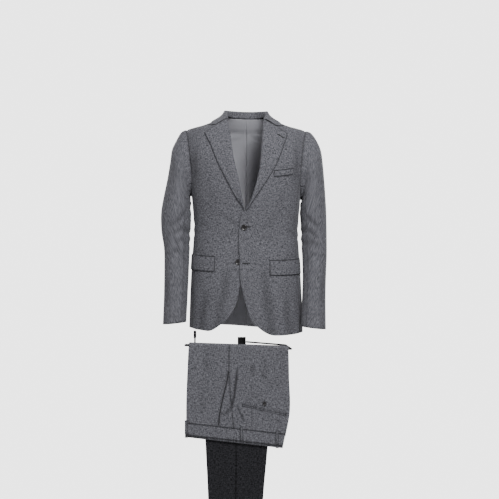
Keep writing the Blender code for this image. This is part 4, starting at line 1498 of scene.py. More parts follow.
@dataclass
class FoldedTrousers:
    """The trousers, creased and folded over the rail: four panels, two waistbands and their trim."""

    finishes: Finishes
    hem: float = 0.700
    fork: float = -0.070
    fly_return: float = 0.070
    seat_return: float = 0.005
    waist_seam_left: float = -0.2777
    waist_seam_right: float = -0.3034
    waistband_width: float = 0.040
    belt_loops: tuple[float, ...] = (-0.2020, -0.0145, 0.1060)
    belt_loop_width: float = 0.010
    belt_loop_length: float = 0.0465
    pocket_left: float = -0.0117
    pocket_right: float = 0.1365
    pocket_top: float = -0.2060
    pocket_fall: float = -0.0295
    pocket_button_x: float = 0.0634
    pocket_button_top: float = -0.1985
    # Folds here with dark above 1 carry a stronger painted shade on their floors
    front_creases: tuple[Crease, ...] = (
        Crease(
            ((-0.046, -0.214), (-0.0660, -0.2410), (-0.0870, -0.2540)), -0.0017, 0.0062, full_at_start=True,
            ridges=0.6, dark=2.4
        ),
        Crease(((-0.172, -0.020), (-0.168, -0.090), (-0.174, -0.180)), 0.0016, 0.0150),
        Crease(((-0.128, -0.010), (-0.134, -0.070), (-0.128, -0.128)), -0.0013, 0.0120),
        Crease(((-0.150, -0.262), (-0.146, -0.220), (-0.152, -0.172)), -0.0012, 0.0085),
        Crease(((-0.098, -0.050), (-0.094, -0.102), (-0.102, -0.158)), 0.0011, 0.0110),
    )
    back_creases: tuple[Crease, ...] = (
        Crease(
            ((-0.0257, -0.0600), (-0.0325, -0.1252), (-0.0393, -0.1797), (-0.0490, -0.2220)),
            -0.0018,
            0.0056,
            full_at_end=True,
            ridges=0.8,
            dark=3.2,
        ),
        Crease(
            ((-0.0335, -0.2040), (-0.0220, -0.2330), (-0.0080, -0.2640)), -0.0017, 0.0046, full_at_end=True,
            ridges=0.6, dark=2.6
        ),
        Crease(((0.0213, -0.0560), (0.0225, -0.0850), (0.0250, -0.1250)), -0.0014, 0.0085, dark=1.8),
        Crease(
            ((0.0219, -0.2083), (0.0219, -0.2380), (0.0219, -0.2700)), -0.0008, 0.0024, full_at_end=True,
            dark=4.0
        ),
        Crease(((0.092, -0.020), (0.096, -0.092), (0.088, -0.168)), 0.0015, 0.0150),
        Crease(((0.061, -0.036), (0.058, -0.094), (0.064, -0.150)), -0.0012, 0.0120),
        Crease(((0.096, -0.250), (0.108, -0.262), (0.122, -0.266)), -0.0015, 0.0070),
        Crease(((-0.004, -0.090), (0.002, -0.150), (-0.008, -0.198)), 0.0012, 0.0090),
    )
    rear_creases: tuple[Crease, ...] = (
        Crease(((-0.150, 0.020), (-0.142, 0.120), (-0.110, 0.230)), 0.0016, 0.0150),
        Crease(((-0.090, 0.030), (-0.082, 0.150), (-0.084, 0.290)), -0.0020, 0.0160),
        Crease(((0.060, 0.010), (0.052, 0.130), (0.026, 0.260)), -0.0022, 0.0170),
        Crease(((0.102, 0.030), (0.084, 0.140), (0.052, 0.270)), 0.0017, 0.0150),
        Crease(((-0.078, 0.330), (-0.084, 0.420), (-0.078, 0.520)), -0.0015, 0.0140),
        Crease(((0.012, 0.320), (0.016, 0.440), (0.006, 0.560)), 0.0014, 0.0150),
    )

    def waist_seam(self, x: float) -> float:
        """Return the distance of the waistband seam from the top of the bar."""
        share = (x + 0.199) / 0.324
        return self.waist_seam_left + (self.waist_seam_right - self.waist_seam_left) * share

    def fold_row(
        self,
        s_of: Callable[[float, float], float],
        crease: float,
        seam: float,
        back_to: float,
        layers: tuple[int, int],
        steps: tuple[int, int],
    ) -> list[Knot]:
        """Return one cross row of a panel: outer face, crease and the face folded under.

        Args:
            s_of: Distance from the bar for an x and a layer radius.
            crease: x of the crease.
            seam: x where the outer face starts.
            back_to: x where the inner face ends.
            layers: The outer and the inner layer.
            steps: How many columns the outer and the inner face have.

        Returns:
            The row's knots.
        """
        outer, inner = (RAIL.layer(number) for number in layers)
        inward = math.copysign(1.0, seam - crease)
        middle, half = 0.5 * (outer + inner), 0.5 * abs(outer - inner)
        start = crease + inward * half
        row = []
        for t in spread(0.0, 1.0, steps[0]):
            x = seam + (start - seam) * t
            row.append(Knot(RAIL.hung(x, s_of(x, outer), outer), x, s_of(x, outer)))
        for turn in spread(0.0, 180.0, 8)[1:-1]:
            angle = math.radians(turn)
            x = start - inward * half * math.sin(angle)
            radius = middle + (outer - middle) * math.cos(angle)
            row.append(Knot(RAIL.hung(x, s_of(x, radius), radius), HIDDEN, 0.0))
        for t in spread(0.0, 1.0, steps[1]):
            x = start + (back_to - start) * t
            row.append(Knot(RAIL.hung(x, s_of(x, inner), inner), HIDDEN, 0.0))
        return row

    def panel(
        self, name: str, towards_front: bool, layers: tuple[int, int], fine: bool, creases: Sequence[Crease]
    ) -> bpy.types.Object:
        """Make one trouser panel, hung over the bar from the waist seam to the hem.

        Args:
            name: Name of the solid that it stands for.
            towards_front: Whether it has the front crease.
            layers: Its outer and its inner layer over the bar.
            fine: Whether it faces outwards in front and needs close columns.
            creases: Its folds.

        Returns:
            The panel, standing for its solid.
        """
        outer = RAIL.layer(layers[0])
        front_steps, rear_steps = (118, 92) if fine else (60, 92)
        levels = [("front", share) for share in spread(1.0, 0.05, front_steps)]
        levels += [("bar", math.radians(turn)) for turn in spread(-90, 90, 22)]
        levels += [("rear", s) for s in spread(0.03, self.hem, rear_steps)]
        steps = (62, 14) if fine else (46, 14)
        rows: Rows = []
        for place, level in levels:

            def s_of(x: float, radius: float, place: str = place, level: float = level) -> float:
                if place == "front":
                    return self.waist_seam(x) * level + SEAM_GAP
                return level * radius if place == "bar" else level

            s_mean = s_of(0.0, outer)
            left, seam, right = read_table(TROUSER_ROWS, s_mean)
            crease = left if towards_front else right
            open_leg = ease((s_mean + 0.27) / (0.27 + self.fork))
            half_gap = CLOSED * (-1 if towards_front else 1)
            short = left + self.fly_return if towards_front else right - self.seat_return
            back_to = short + (seam + half_gap - short) * open_leg
            rows.append(self.fold_row(s_of, crease, seam + half_gap, back_to, layers, steps))
        sign = 1.0 if layers[0] > layers[1] else -1.0
        cloth = Cloth(
            f"{name}_cloth",
            rows,
            TROUSER_WALL,
            self.finishes.wool,
            self.finishes.wool,
            lambda place: Vector((0.0, sign * (place.y - RAIL.y), sign * (place.z - RAIL.z) * 0.02)),
            creases,
            Turned(start=0.0003, end=0.0, reach=0.0020),
        )
        item = thin(cloth.build(), name)
        return item

    def waistband(self, name: str, layers: tuple[int, int]) -> bpy.types.Object:
        """Make one waistband, from the centre back round the front crease to its folded end."""
        left, _, right = read_table(TROUSER_ROWS, -0.30)
        rows: Rows = []
        for down in spread(0.0, 1.0, 18):

            def s_of(x: float, radius: float, down: float = down) -> float:
                return self.waist_seam(x) - 2 * SEAM_GAP - self.waistband_width * down

            crease, seam = left + 0.002 * down, right - 0.008 * down
            rows.append(self.fold_row(s_of, crease, seam, left + self.fly_return, layers, (96, 20)))
        sign = 1.0 if layers[0] > layers[1] else -1.0
        cloth = Cloth(
            f"{name}_cloth",
            rows,
            TROUSER_WALL,
            self.finishes.wool,
            self.finishes.wool,
            lambda place: Vector((0.0, sign * (place.y - RAIL.y), 0.0)),
            (
                Crease(((-0.150, -0.300), (-0.110, -0.309), (-0.060, -0.309)), -0.0007, 0.0080),
                Crease(((0.030, -0.308), (0.066, -0.318), (0.094, -0.318)), 0.0006, 0.0090),
            ),
            Turned(first=0.0006, last=0.0003, reach=0.0024),
            grain=90.0,
        )
        item = thin(cloth.build(), name)
        return item

    def strip(
        self, name: str, x: float, width: float, ends: tuple[
            float, float
        ], radius: float, wall: float, slack: float
    ) -> bpy.types.Object:
        """Make a narrow strip that lies on a hanging layer.

        Args:
            name: Name of the piece.
            x: Its middle.
            width: Its width.
            ends: Distance of its lower and upper end from the top of the bar.
            radius: Distance of its middle surface from the bar's centre line.
            wall: Its thickness.
            slack: How far its middle bows off the layer.

        Returns:
            The strip.
        """
        outside = math.copysign(1.0, slack)
        rows: Rows = []
        for t in spread(0.0, 1.0, 44):
            s = ends[0] + (ends[1] - ends[0]) * t
            row = []
            for w in spread(-0.5, 0.5, 10):
                bow = slack * math.sin(math.pi * t) ** 0.6 + outside * 0.0003 * math.cos(math.pi * w)
                place = RAIL.hung(x + w * width, s, radius)
                place.y -= bow
                row.append(Knot(place, HIDDEN, 0.0))
            rows.append(row)
        cloth = Cloth(
            name,
            rows,
            wall,
            self.finishes.wool,
            self.finishes.wool,
            lambda place: Vector((0.0, -outside, 0.0)),
            (),
            Turned(start=0.0004, end=0.0003, first=0.0003, last=0.0003, reach=0.0022),
        )
        return cloth.build()

    def loops(self, label: str, layer: int, outside: float) -> list[bpy.types.Object]:
        """Make the belt loops of one waistband."""
        radius = RAIL.layer(layer) + outside * (TROUSER_WALL + SEAM_GAP + 0.0001)
        made = []
        for number, x in enumerate(self.belt_loops, start=1):
            top = self.waist_seam(x) + 0.006
            name = f"belt_loop_{label}_{number}"
            ends = (top - self.belt_loop_length, top)
            slack = 0.0007 * outside
            item = self.strip(f"{name}_cloth", x, self.belt_loop_width, ends, radius, 0.0011, slack)
            thin(item, name)
            made.append(item)
        return made

    def welts(self) -> list[bpy.types.Object]:
        """Make the two welts of the back pocket."""
        radius = RAIL.layer(3) + TROUSER_WALL + SEAM_GAP
        left, right = self.pocket_left, self.pocket_right
        made = []
        for label, offset in (("upper", 0.0), ("lower", 0.0056)):
            rows: Rows = []
            for down in spread(0.0050, 0.0, 8):
                row = []
                for t in spread(0.0, 1.0, 70):
                    x = left + (right - left) * t
                    wave = 0.0004 * math.sin(9.0 * t + 2.0 * offset / 0.0056) * math.sin(math.pi * t)
                    s = self.pocket_top + self.pocket_fall * t - offset - down + wave
                    place = RAIL.hung(x, s, radius)
                    place.y -= 0.0005 * math.sin(math.pi * down / 0.0050)
                    row.append(Knot(place, HIDDEN, 0.0))
                rows.append(row)
            name = f"back_pocket_welt_{label}"
            cloth = Cloth(
                f"{name}_cloth",
                rows,
                0.0011,
                self.finishes.wool,
                self.finishes.wool,
                lambda place: Vector((0, -1, 0)),
                (),
                Turned(first=0.0004, last=0.0004, reach=0.0013),
            )
            item = thin(cloth.build(), name)
            made.append(item)
        return made

    def pocket_mouth(self) -> bpy.types.Object:
        """Make the turned and stitched edge of the slanted side pocket.

        Returns:
            The edge, a narrow double cloth on the right front.
        """
        path = (
            (-0.0565, -0.1000), (-0.0632, -0.1398), (-0.0762, -0.1947), (-0.0878, -0.2560), (-0.0900, -0.2850)
        )
        walked = [0.0]
        for a, b in zip(path, path[1:]):
            walked.append(walked[-1] + math.dist(a, b))
        line = tuple((w, *p) for w, p in zip(walked, path))
        radius = RAIL.layer(3) + TROUSER_WALL / 2 + 0.0006
        rows: Rows = []
        for w in spread(0.0, walked[-1], 90):
            x, s = read_table(line, w)
            row = []
            for u in spread(0.0, 1.0, 10):
                place = RAIL.hung(x - 0.0085 * (1 - u), s, radius)
                place.y -= 0.0007 * ease(u) * math.sin(math.pi * min(max(w / walked[-1], 0.03), 0.97)) ** 0.4
                row.append(Knot(place, HIDDEN, 0.0))
            rows.append(row)
        cloth = Cloth(
            "side_pocket_edge_right",
            rows,
            0.0009,
            self.finishes.wool,
            self.finishes.wool,
            lambda place: Vector((0, -1, 0)),
            (),
            Turned(end=0.0006, reach=0.0044),
        )
        item = cloth.build()
        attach(item, "root")
        return item

    def pocket_loop(self) -> bpy.types.Object:
        """Make the cloth loop that closes over the back pocket's button."""
        radius = RAIL.layer(3) + TROUSER_WALL + SEAM_GAP
        ends = (self.pocket_button_top - 0.0185, self.pocket_button_top + 0.0065)
        item = thin(
            self.strip("back_pocket_loop_cloth", self.pocket_button_x, 0.0040, ends, radius, 0.0009, 0.0002),
            "back_pocket_loop"
        )
        return item

    def build(self) -> list[bpy.types.Object]:
        """Make every piece of the trousers and return them."""
        both = self.rear_creases
        made = [
            self.panel("trousers_front_right", True, (3, 2), True, self.front_creases + both),
            self.panel("trousers_back_right", False, (3, 2), True, self.back_creases + both),
            self.panel("trousers_front_left", True, (0, 1), False, ()),
            self.panel("trousers_back_left", False, (0, 1), False, ()),
            self.waistband("waistband_right", (3, 2)),
            self.waistband("waistband_left", (0, 1)),
        ]
        made += self.loops("right", 3, 1.0) + self.loops("left", 0, -1.0)
        return made + self.welts() + [self.pocket_mouth(), self.pocket_loop()]


@dataclass
class Skin:
    """The outer face of a finished piece, as seen from in front."""

    item: bpy.types.Object
    tree: BVHTree = field(init=False)

    def __post_init__(self) -> None:
        """Read the piece's mesh once."""
        mesh = self.item.data
        places = [vertex.co.copy() for vertex in mesh.vertices]
        self.tree = BVHTree.FromPolygons(places, [tuple(face.vertices) for face in mesh.polygons])

    def at(self, x: float, z: float, lift: float = 0.0) -> Vector:
        """Return the place on the piece's front face at x and height.

        Args:
            x: Place across.
            z: Height.
            lift: Distance off the face.

        Returns:
            The place, or one at the nearest part of the piece where nothing lies behind it.
        """
        place, normal, _, _ = self.tree.ray_cast(Vector((x, -1.0, z)), Vector((0.0, 1.0, 0.0)))
        if place is None:
            place, normal, _, _ = self.tree.find_nearest(Vector((x, -0.3, z)))
        if normal.y > 0:
            normal = -normal
        return place + lift * normal

    def normal(self, x: float, z: float) -> Vector:
        """Return the direction out of the front face at x and height, over a button's width."""
        step = 0.006
        left, right = self.at(x - step, z), self.at(x + step, z)
        low, high = self.at(x, z - step), self.at(x, z + step)
        out = (right - left).cross(high - low).normalized()
        return -out if out.y > 0 else out

    def path(self, points: Sequence[tuple[float, float]], step: float, lift: float) -> list[Vector]:
        """Lay a line of x and height on the front face.

        Args:
            points: The line's corners.
            step: Distance between two of the places that are returned.
            lift: Distance off the face.

        Returns:
            The places.
        """
        flat = [Vector((x, 0.0, z)) for x, z in points]
        count = max(2, math.ceil(running_lengths(flat)[-1] / step))
        places = [along(flat, k / count) for k in range(count + 1)]
        return [self.at(place.x, place.z, lift) for place in places]


@dataclass
class StitchRow:
    """A row of stitches along a path, made with one Geometry Nodes tree for all rows.

    The tree walks the path, sets a thread capsule every pitch, lies it on the cloth by the
    direction out of it, and varies its size a little from stitch to stitch.
    """

    seed: int = 7
    tree: bpy.types.NodeTree | None = None
    sockets: dict[str, str] = field(default_factory=dict)

    def make_tree(self) -> bpy.types.NodeTree:
        """Build the node tree and remember its input sockets."""
        tree = bpy.data.node_groups.new("stitch_row", "GeometryNodeTree")
        face = tree.interface
        face.new_socket("Path", in_out="INPUT", socket_type="NodeSocketGeometry")
        for name, kind in (
            ("Pitch", "NodeSocketFloat"),
            ("Size", "NodeSocketVector"),
            ("Outwards", "NodeSocketVector"),
            ("Unevenness", "NodeSocketFloat"),
            ("Thread", "NodeSocketMaterial"),
        ):
            self.sockets[name] = face.new_socket(name, in_out="INPUT", socket_type=kind).identifier
        face.new_socket("Stitches", in_out="OUTPUT", socket_type="NodeSocketGeometry")
        given = tree.nodes.new("NodeGroupInput").outputs
        curve = add_node(tree, "GeometryNodeMeshToCurve", {}, {0: given["Path"]})
        points = add_node(
            tree, "GeometryNodeCurveToPoints", {"mode": "LENGTH"},
            {0: curve.outputs[0], "Length": given["Pitch"]}
        )
        forward = add_node(
            tree, "FunctionNodeAlignRotationToVector", {"axis": "Z"}, {"Vector": points.outputs["Tangent"]}
        )
        lying = add_node(
            tree,
            "FunctionNodeAlignRotationToVector",
            {"axis": "Y", "pivot_axis": "Z"},
            {"Rotation": forward.outputs[0], "Vector": given["Outwards"]},
        )
        capsule = add_node(tree, "GeometryNodeMeshUVSphere", {"Segments": 8, "Rings": 6, "Radius": 0.5})
        formed = add_node(tree, "GeometryNodeTransform", {}, {0: capsule.outputs[0], "Scale": given["Size"]})
        smooth = add_node(tree, "GeometryNodeSetShadeSmooth", {}, {0: formed.outputs[0]})
        low = add_node(tree, "ShaderNodeMath", {"operation": "SUBTRACT", 0: 1.0}, {1: given["Unevenness"]})
        high = add_node(tree, "ShaderNodeMath", {"operation": "ADD", 0: 1.0}, {1: given["Unevenness"]})
        size = add_node(
            tree,
            "FunctionNodeRandomValue",
            {"data_type": "FLOAT", "Seed": self.seed},
            {2: low.outputs[0], 3: high.outputs[0]},
        )
        placed = add_node(
            tree,
            "GeometryNodeInstanceOnPoints",
            {},
            {
                0: points.outputs[0], "Instance": smooth.outputs[0], "Rotation": lying.outputs[0],
                "Scale": size.outputs[1]
            },
        )
        real = add_node(tree, "GeometryNodeRealizeInstances", {}, {0: placed.outputs[0]})
        dressed = add_node(
            tree, "GeometryNodeSetMaterial", {}, {0: real.outputs[0], "Material": given["Thread"]}
        )
        shown = tree.nodes.new("NodeGroupOutput")
        tree.links.new(dressed.outputs[0], shown.inputs[0])
        return tree

    def sew(
        self,
        name: str,
        paths: Sequence[Sequence[Vector]],
        pitch: float,
        size: tuple[float, float, float],
        outwards: Vector,
        thread: bpy.types.Material,
        unevenness: float = 0.08,
    ) -> bpy.types.Object:
        """Sew rows of stitches along paths.

        Args:
            name: Name of the piece.
            paths: The paths, each a list of places.
            pitch: Distance between two stitches.
            size: A stitch's size across the path, off the cloth and along the path.
            outwards: The direction out of the cloth.
            thread: The thread's material.
            unevenness: Share by which a stitch's size varies.

        Returns:
            The stitches as one plain mesh, riding on the suit.
        """
        if self.tree is None:
            self.tree = self.make_tree()
        places = [place for path in paths for place in path]
        edges, first = [], 0
        for path in paths:
            edges += [(first + k, first + k + 1) for k in range(len(path) - 1)]
            first += len(path)
        mesh = bpy.data.meshes.new(name)
        mesh.from_pydata(places, edges, [])
        item = link(bpy.data.objects.new(name, mesh))
        sewing = item.modifiers.new("stitches", "NODES")
        sewing.node_group = self.tree
        sewing[self.sockets["Pitch"]] = pitch
        sewing[self.sockets["Size"]] = size
        sewing[self.sockets["Outwards"]] = tuple(outwards)
        sewing[self.sockets["Unevenness"]] = unevenness
        sewing[self.sockets["Thread"]] = thread
        item = baked(item)
        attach(item, "root")
        return item


def strand(
    name: str, paths: Sequence[Sequence[Vector]], radius: float, finish: bpy.types.Material
) -> bpy.types.Object:
    """Make round strands along paths, as one plain mesh.

    Args:
        name: Name of the piece.
        paths: The strands' centre lines.
        radius: Their radius.
        finish: Their material.

    Returns:
        The strands.
    """
    curve = bpy.data.curves.new(name, "CURVE")
    curve.dimensions = "3D"
    curve.bevel_depth = radius
    curve.bevel_resolution = 3
    curve.use_fill_caps = True
    for path in paths:
        spline = curve.splines.new("POLY")
        spline.points.add(len(path) - 1)
        for knot, place in zip(spline.points, path):
            knot.co = (*place, 1.0)
    curve.materials.append(finish)
    made = baked(link(bpy.data.objects.new(name, curve)))
    made.data.shade_smooth()
    return settled(made)


def turned_solid(
    name: str, profile: Sequence[tuple[float, float]], steps: int, finish: bpy.types.Material
) -> bpy.types.Object:
    """Turn a profile of radius and height round the Z axis, closed at both poles.

    Args:
        name: Name of the piece.
        profile: Radius and height from the lower pole to the upper pole, without the poles.
        steps: How many sides it has.
        finish: Its material.

    Returns:
        The turned piece.
    """
    shape = bmesh.new()
    rings = [
        [
            shape.verts.new(
                (r * math.cos(2 * math.pi * k / steps), r * math.sin(2 * math.pi * k / steps), h)
            ) for k in range(steps)
        ]
        for r, h in profile
    ]
    for low, high in zip(rings, rings[1:]):
        for k in range(steps):
            nxt = (k + 1) % steps
            shape.faces.new((low[k], low[nxt], high[nxt], high[k]))
    shape.faces.new(list(reversed(rings[0])))
    shape.faces.new(rings[-1])
    bmesh.ops.recalc_face_normals(shape, faces=shape.faces)
    mesh = bpy.data.meshes.new(name)
    shape.to_mesh(mesh)
    shape.free()
    mesh.materials.append(finish)
    item = link(bpy.data.objects.new(name, mesh))
    mesh.shade_smooth()
    mesh.set_sharp_from_angle(angle=math.radians(50))
    return item


def turn_to(item: bpy.types.Object, centre: Vector, axis: Vector) -> bpy.types.Object:
    """Stand a piece on an axis at a centre, with its place kept in its mesh."""
    item.rotation_mode = "QUATERNION"
    item.rotation_quaternion = Vector((0, 0, 1)).rotation_difference(axis)
    item.location = centre
    settled(item)
    item.location = (0, 0, 0)
    item.rotation_quaternion = (1, 0, 0, 0)
    return item


@dataclass
class Buttons:
    """The two front buttons and the back pocket's button: dished, rimmed and sewn with four holes."""

    finishes: Finishes
    diameter: float = 0.020
    thickness: float = 0.0026
    small_diameter: float = 0.0135
    small_thickness: float = 0.0024
    hole: float = 0.0019

    def button(
        self, name: str, node: str, centre: Vector, axis: Vector, diameter: float, thickness: float
    ) -> list[bpy.types.Object]:
        """Make one sewn button.

        Args:
            name: Name of the piece.
            node: The solid that it stands for.
            centre: Its middle.
            axis: The direction that its face looks in.
            diameter: Its diameter.
            thickness: Its thickness.

        Returns:
            The button and its thread.
        """
        r, t = diameter / 2, thickness / 2
        profile = (
            (r * 0.30, -t), (
                r * 0.80, -t * 0.92
            ), (r * 0.95, -t * 0.45), (r, -t * 0.02), (r * 0.985, t * 0.55),
            (
                r * 0.94, t * 0.92
            ), (r * 0.88, t), (r * 0.80, t * 0.86), (r * 0.72, t * 0.45), (r * 0.64, t * 0.25),
            (r * 0.40, t * 0.14), (r * 0.12, t * 0.12),
        )
        body = turned_solid(name, profile, 56, self.finishes.horn)
        spacing = diameter * 0.105
        corners = [(a * spacing, b * spacing) for a in (-1, 1) for b in (-1, 1)]
        cut = bpy.data.meshes.new("drill")
        drill = bmesh.new()
        for x, y in corners:
            made = bmesh.ops.create_cone(
                drill,
                cap_ends=True,
                segments=16,
                radius1=self.hole / 2 * diameter / 0.020,
                radius2=self.hole / 2 * diameter / 0.020,
                depth=thickness * 4,
            )
            bmesh.ops.translate(drill, verts=made["verts"], vec=(x, y, 0.0))
        drill.to_mesh(cut)
        drill.free()
        cutter = link(bpy.data.objects.new("drill", cut))
        holes = body.modifiers.new("holes", "BOOLEAN")
        holes.object = cutter
        holes.solver = "EXACT"
        body = baked(body)
        bpy.data.objects.remove(cutter, do_unlink=True)
        turn_to(body, centre, axis)
        thin(body, node)
        top = t * 0.42
        crossing = [
            [Vector((a * spacing, b * spacing, -t * 1.6)), Vector((a * spacing, b * spacing, 0.0))]
            + [
                Vector(
                    (a * spacing * k, b * spacing * k, top + 0.0004 * (1 - k * k))
                ) for k in (0.7, 0.0, -0.7)
            ]
            + [Vector((-a * spacing, -b * spacing, 0.0)), Vector((-a * spacing, -b * spacing, -t * 1.6))]
            for a, b in ((1, 1), (1, -1))
        ]
        thread = strand(f"{name}_thread", crossing, 0.00042 * diameter / 0.020, self.finishes.thread)
        turn_to(thread, centre, axis)
        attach(thread, "root")
        return [body, thread]

    def build(self, trousers: FoldedTrousers) -> list[bpy.types.Object]:
        """Make the jacket's two buttons and the pocket's one, and return them with their threads."""
        made = []
        for name, node, x, z, out in (
            ("button_upper_sewn", "button_upper", -0.0061, -0.3910, TORSO.overlap_out + 4 * SEAM_GAP),
            ("button_lower_sewn", "button_lower", -0.0267, -0.5120, 2 * SEAM_GAP - TORSO.underlap_in),
        ):
            angle = TORSO.angle_at(x, z)
            axis = TORSO.normal(angle, z)
            out += JACKET_WALL / 2 + self.thickness / 2
            centre = TORSO.point(angle, z) + out * axis
            centre.z -= TORSO.lean(centre.x, z)
            made += self.button(name, node, centre, axis, self.diameter, self.thickness)
        radius = RAIL.layer(3) + TROUSER_WALL + SEAM_GAP + 0.0021
        centre = RAIL.hung(trousers.pocket_button_x, trousers.pocket_button_top - 0.010, radius)
        axis = Vector((0, -1, 0))
        made += self.button(
            "back_pocket_button_sewn",
            "back_pocket_button",
            centre,
            axis,
            self.small_diameter,
            self.small_thickness,
        )
        return made


@dataclass
class Sewing:
    """Buttonholes, bar tacks and the stitched pocket edge."""

    finishes: Finishes
    rows: StitchRow = field(default_factory=StitchRow)

    def buttonhole(self, name: str, skin: Skin, start: tuple[float, float], end: tuple[float, float]) -> None:
        """Work a buttonhole with a keyhole at its start.

        Args:
            name: Name of the pieces.
            skin: The face that it lies on.
            start: x and height of the keyhole end.
            end: x and height of the other end.
        """
        dx, dz = end[0] - start[0], end[1] - start[1]
        length = math.hypot(dx, dz)
        ux, uz = dx / length, dz / length
        half, eye = 0.0011, 0.0019

        def out_of(distance: float, across: float) -> tuple[float, float]:
            return (start[0] + ux * distance - uz * across, start[1] + uz * distance + ux * across)

        outline = [out_of(length, half), out_of(2 * eye, half)]
        outline += [
            out_of(eye - eye * math.cos(math.radians(turn)), eye * math.sin(math.radians(turn)))
            for turn in (140, 105, 70, 35, 0, -35, -70, -105, -140)
        ]
        outline += [out_of(2 * eye, -half), out_of(length, -half)]
        facing = skin.normal(0.5 * (start[0] + end[0]), 0.5 * (start[1] + end[1]))
        path = skin.path(outline, 0.0006, 0.00012)
        self.rows.sew(
            f"{name}_purl", [path], 0.00042, (0.0021, 0.0007, 0.00044), facing, self.finishes.thread, 0.12
        )
        tack = skin.path([out_of(length, 0.0016), out_of(length, -0.0016)], 0.0004, 0.0002)
        self.rows.sew(
            f"{name}_tack", [tack], 0.00036, (0.0016, 0.0007, 0.00042), facing, self.finishes.thread, 0.1
        )
        slit = strand(
            f"{name}_slit", [skin.path([out_of(eye, 0.0), out_of(length, 0.0)], 0.0008, 0.0001)], 0.0007,
            self.finishes.thread
        )
        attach(slit, "root")

    def tacks(
        self, name: str, skin: Skin, lines: Sequence[tuple[tuple[float, float], tuple[float, float]]],
        wide: float
    ) -> None:
        """Sew bar tacks: dense short stitches side by side along each line.

        Args:
            name: Name of the piece.
            skin: The face that they lie on.
            lines: The two ends of each tack.
            wide: The tack's width.
        """
        paths = [skin.path(line, 0.0006, 0.00015) for line in lines]
        self.rows.sew(
            name, paths, 0.00045, (wide, 0.0005, 0.00042), Vector((0, -1, 0)), self.finishes.thread, 0.1
        )

    def build(self, pieces: dict[str, bpy.types.Object], trousers: FoldedTrousers) -> None:
        """Sew everything that is sewn.

        Args:
            pieces: The finished pieces by name.
            trousers: The trousers' sizes.
        """
        front = Skin(pieces["front_left_cloth"])
        self.buttonhole("buttonhole_upper", front, (0.0010, -0.3897), (0.0165, -0.3893))
        self.buttonhole("buttonhole_lower", front, (-0.0120, -0.5150), (0.0135, -0.5142))
        lapel = Skin(pieces["lapel_left_cloth"])
        self.buttonhole("lapel_buttonhole", lapel, (0.1317, -0.0815), (0.1090, -0.0695))
        seat = Skin(pieces["trousers_back_right_cloth"])

        def height(x: float, s: float) -> float:
            return RAIL.height(x) + s + 0.5 * math.pi * RAIL.layer(3)

        ends = []
        for x, t in ((trousers.pocket_left, 0.0), (trousers.pocket_right, 1.0)):
            s = trousers.pocket_top + trousers.pocket_fall * t
            ends.append(((x, height(x, s + 0.0015)), (x, height(x, s - 0.0122))))
        self.tacks("back_pocket_tacks", seat, ends, 0.0022)
        for number, x in enumerate(trousers.belt_loops, start=1):
            loop = Skin(pieces[f"belt_loop_right_{number}_cloth"])
            top = trousers.waist_seam(x) + 0.006
            lines = []
            for s in (top - 0.0022, top - trousers.belt_loop_length + 0.0022):
                lines.append(((x - 0.0042, height(x, s)), (x + 0.0042, height(x, s))))
            self.tacks(f"belt_loop_tacks_{number}", loop, lines, 0.0018)
        mouth = Skin(pieces["side_pocket_edge_right"])
        edge = [(-0.0570, -0.1030), (-0.0632, -0.1398), (-0.0762, -0.1947), (-0.0878, -0.2560)]
        line = [(x - 0.0062, height(x, s)) for x, s in edge]
        path = mouth.path(line, 0.0030, 0.0001)
        self.rows.sew(
            "side_pocket_topstitch", [path], 0.0026, (
                0.00045, 0.0004, 0.0019
            ), Vector((0, -1, 0)), self.finishes.seam_thread
        )
        self.tacks(
            "side_pocket_tack", mouth,
            [((-0.0665, height(-0.0587, -0.1090)), (-0.0590, height(-0.0587, -0.1090)))], 0.0018
        )
        for label, number in (("welt_end_inner", 0.0960), ("welt_end_outer", 0.1625)):
            welt = Skin(pieces["breast_welt_cloth"])
            top = -0.1995 if number < 0.12 else -0.1895
            line = [(number, top - 0.001), (number, top - 0.020)]
            path = welt.path(line, 0.0020, 0.0001)
            self.rows.sew(
                label, [path], 0.0024, (
                    0.0004, 0.00035, 0.0016
                ), Vector((0, -1, 0)), self.finishes.seam_thread
            )


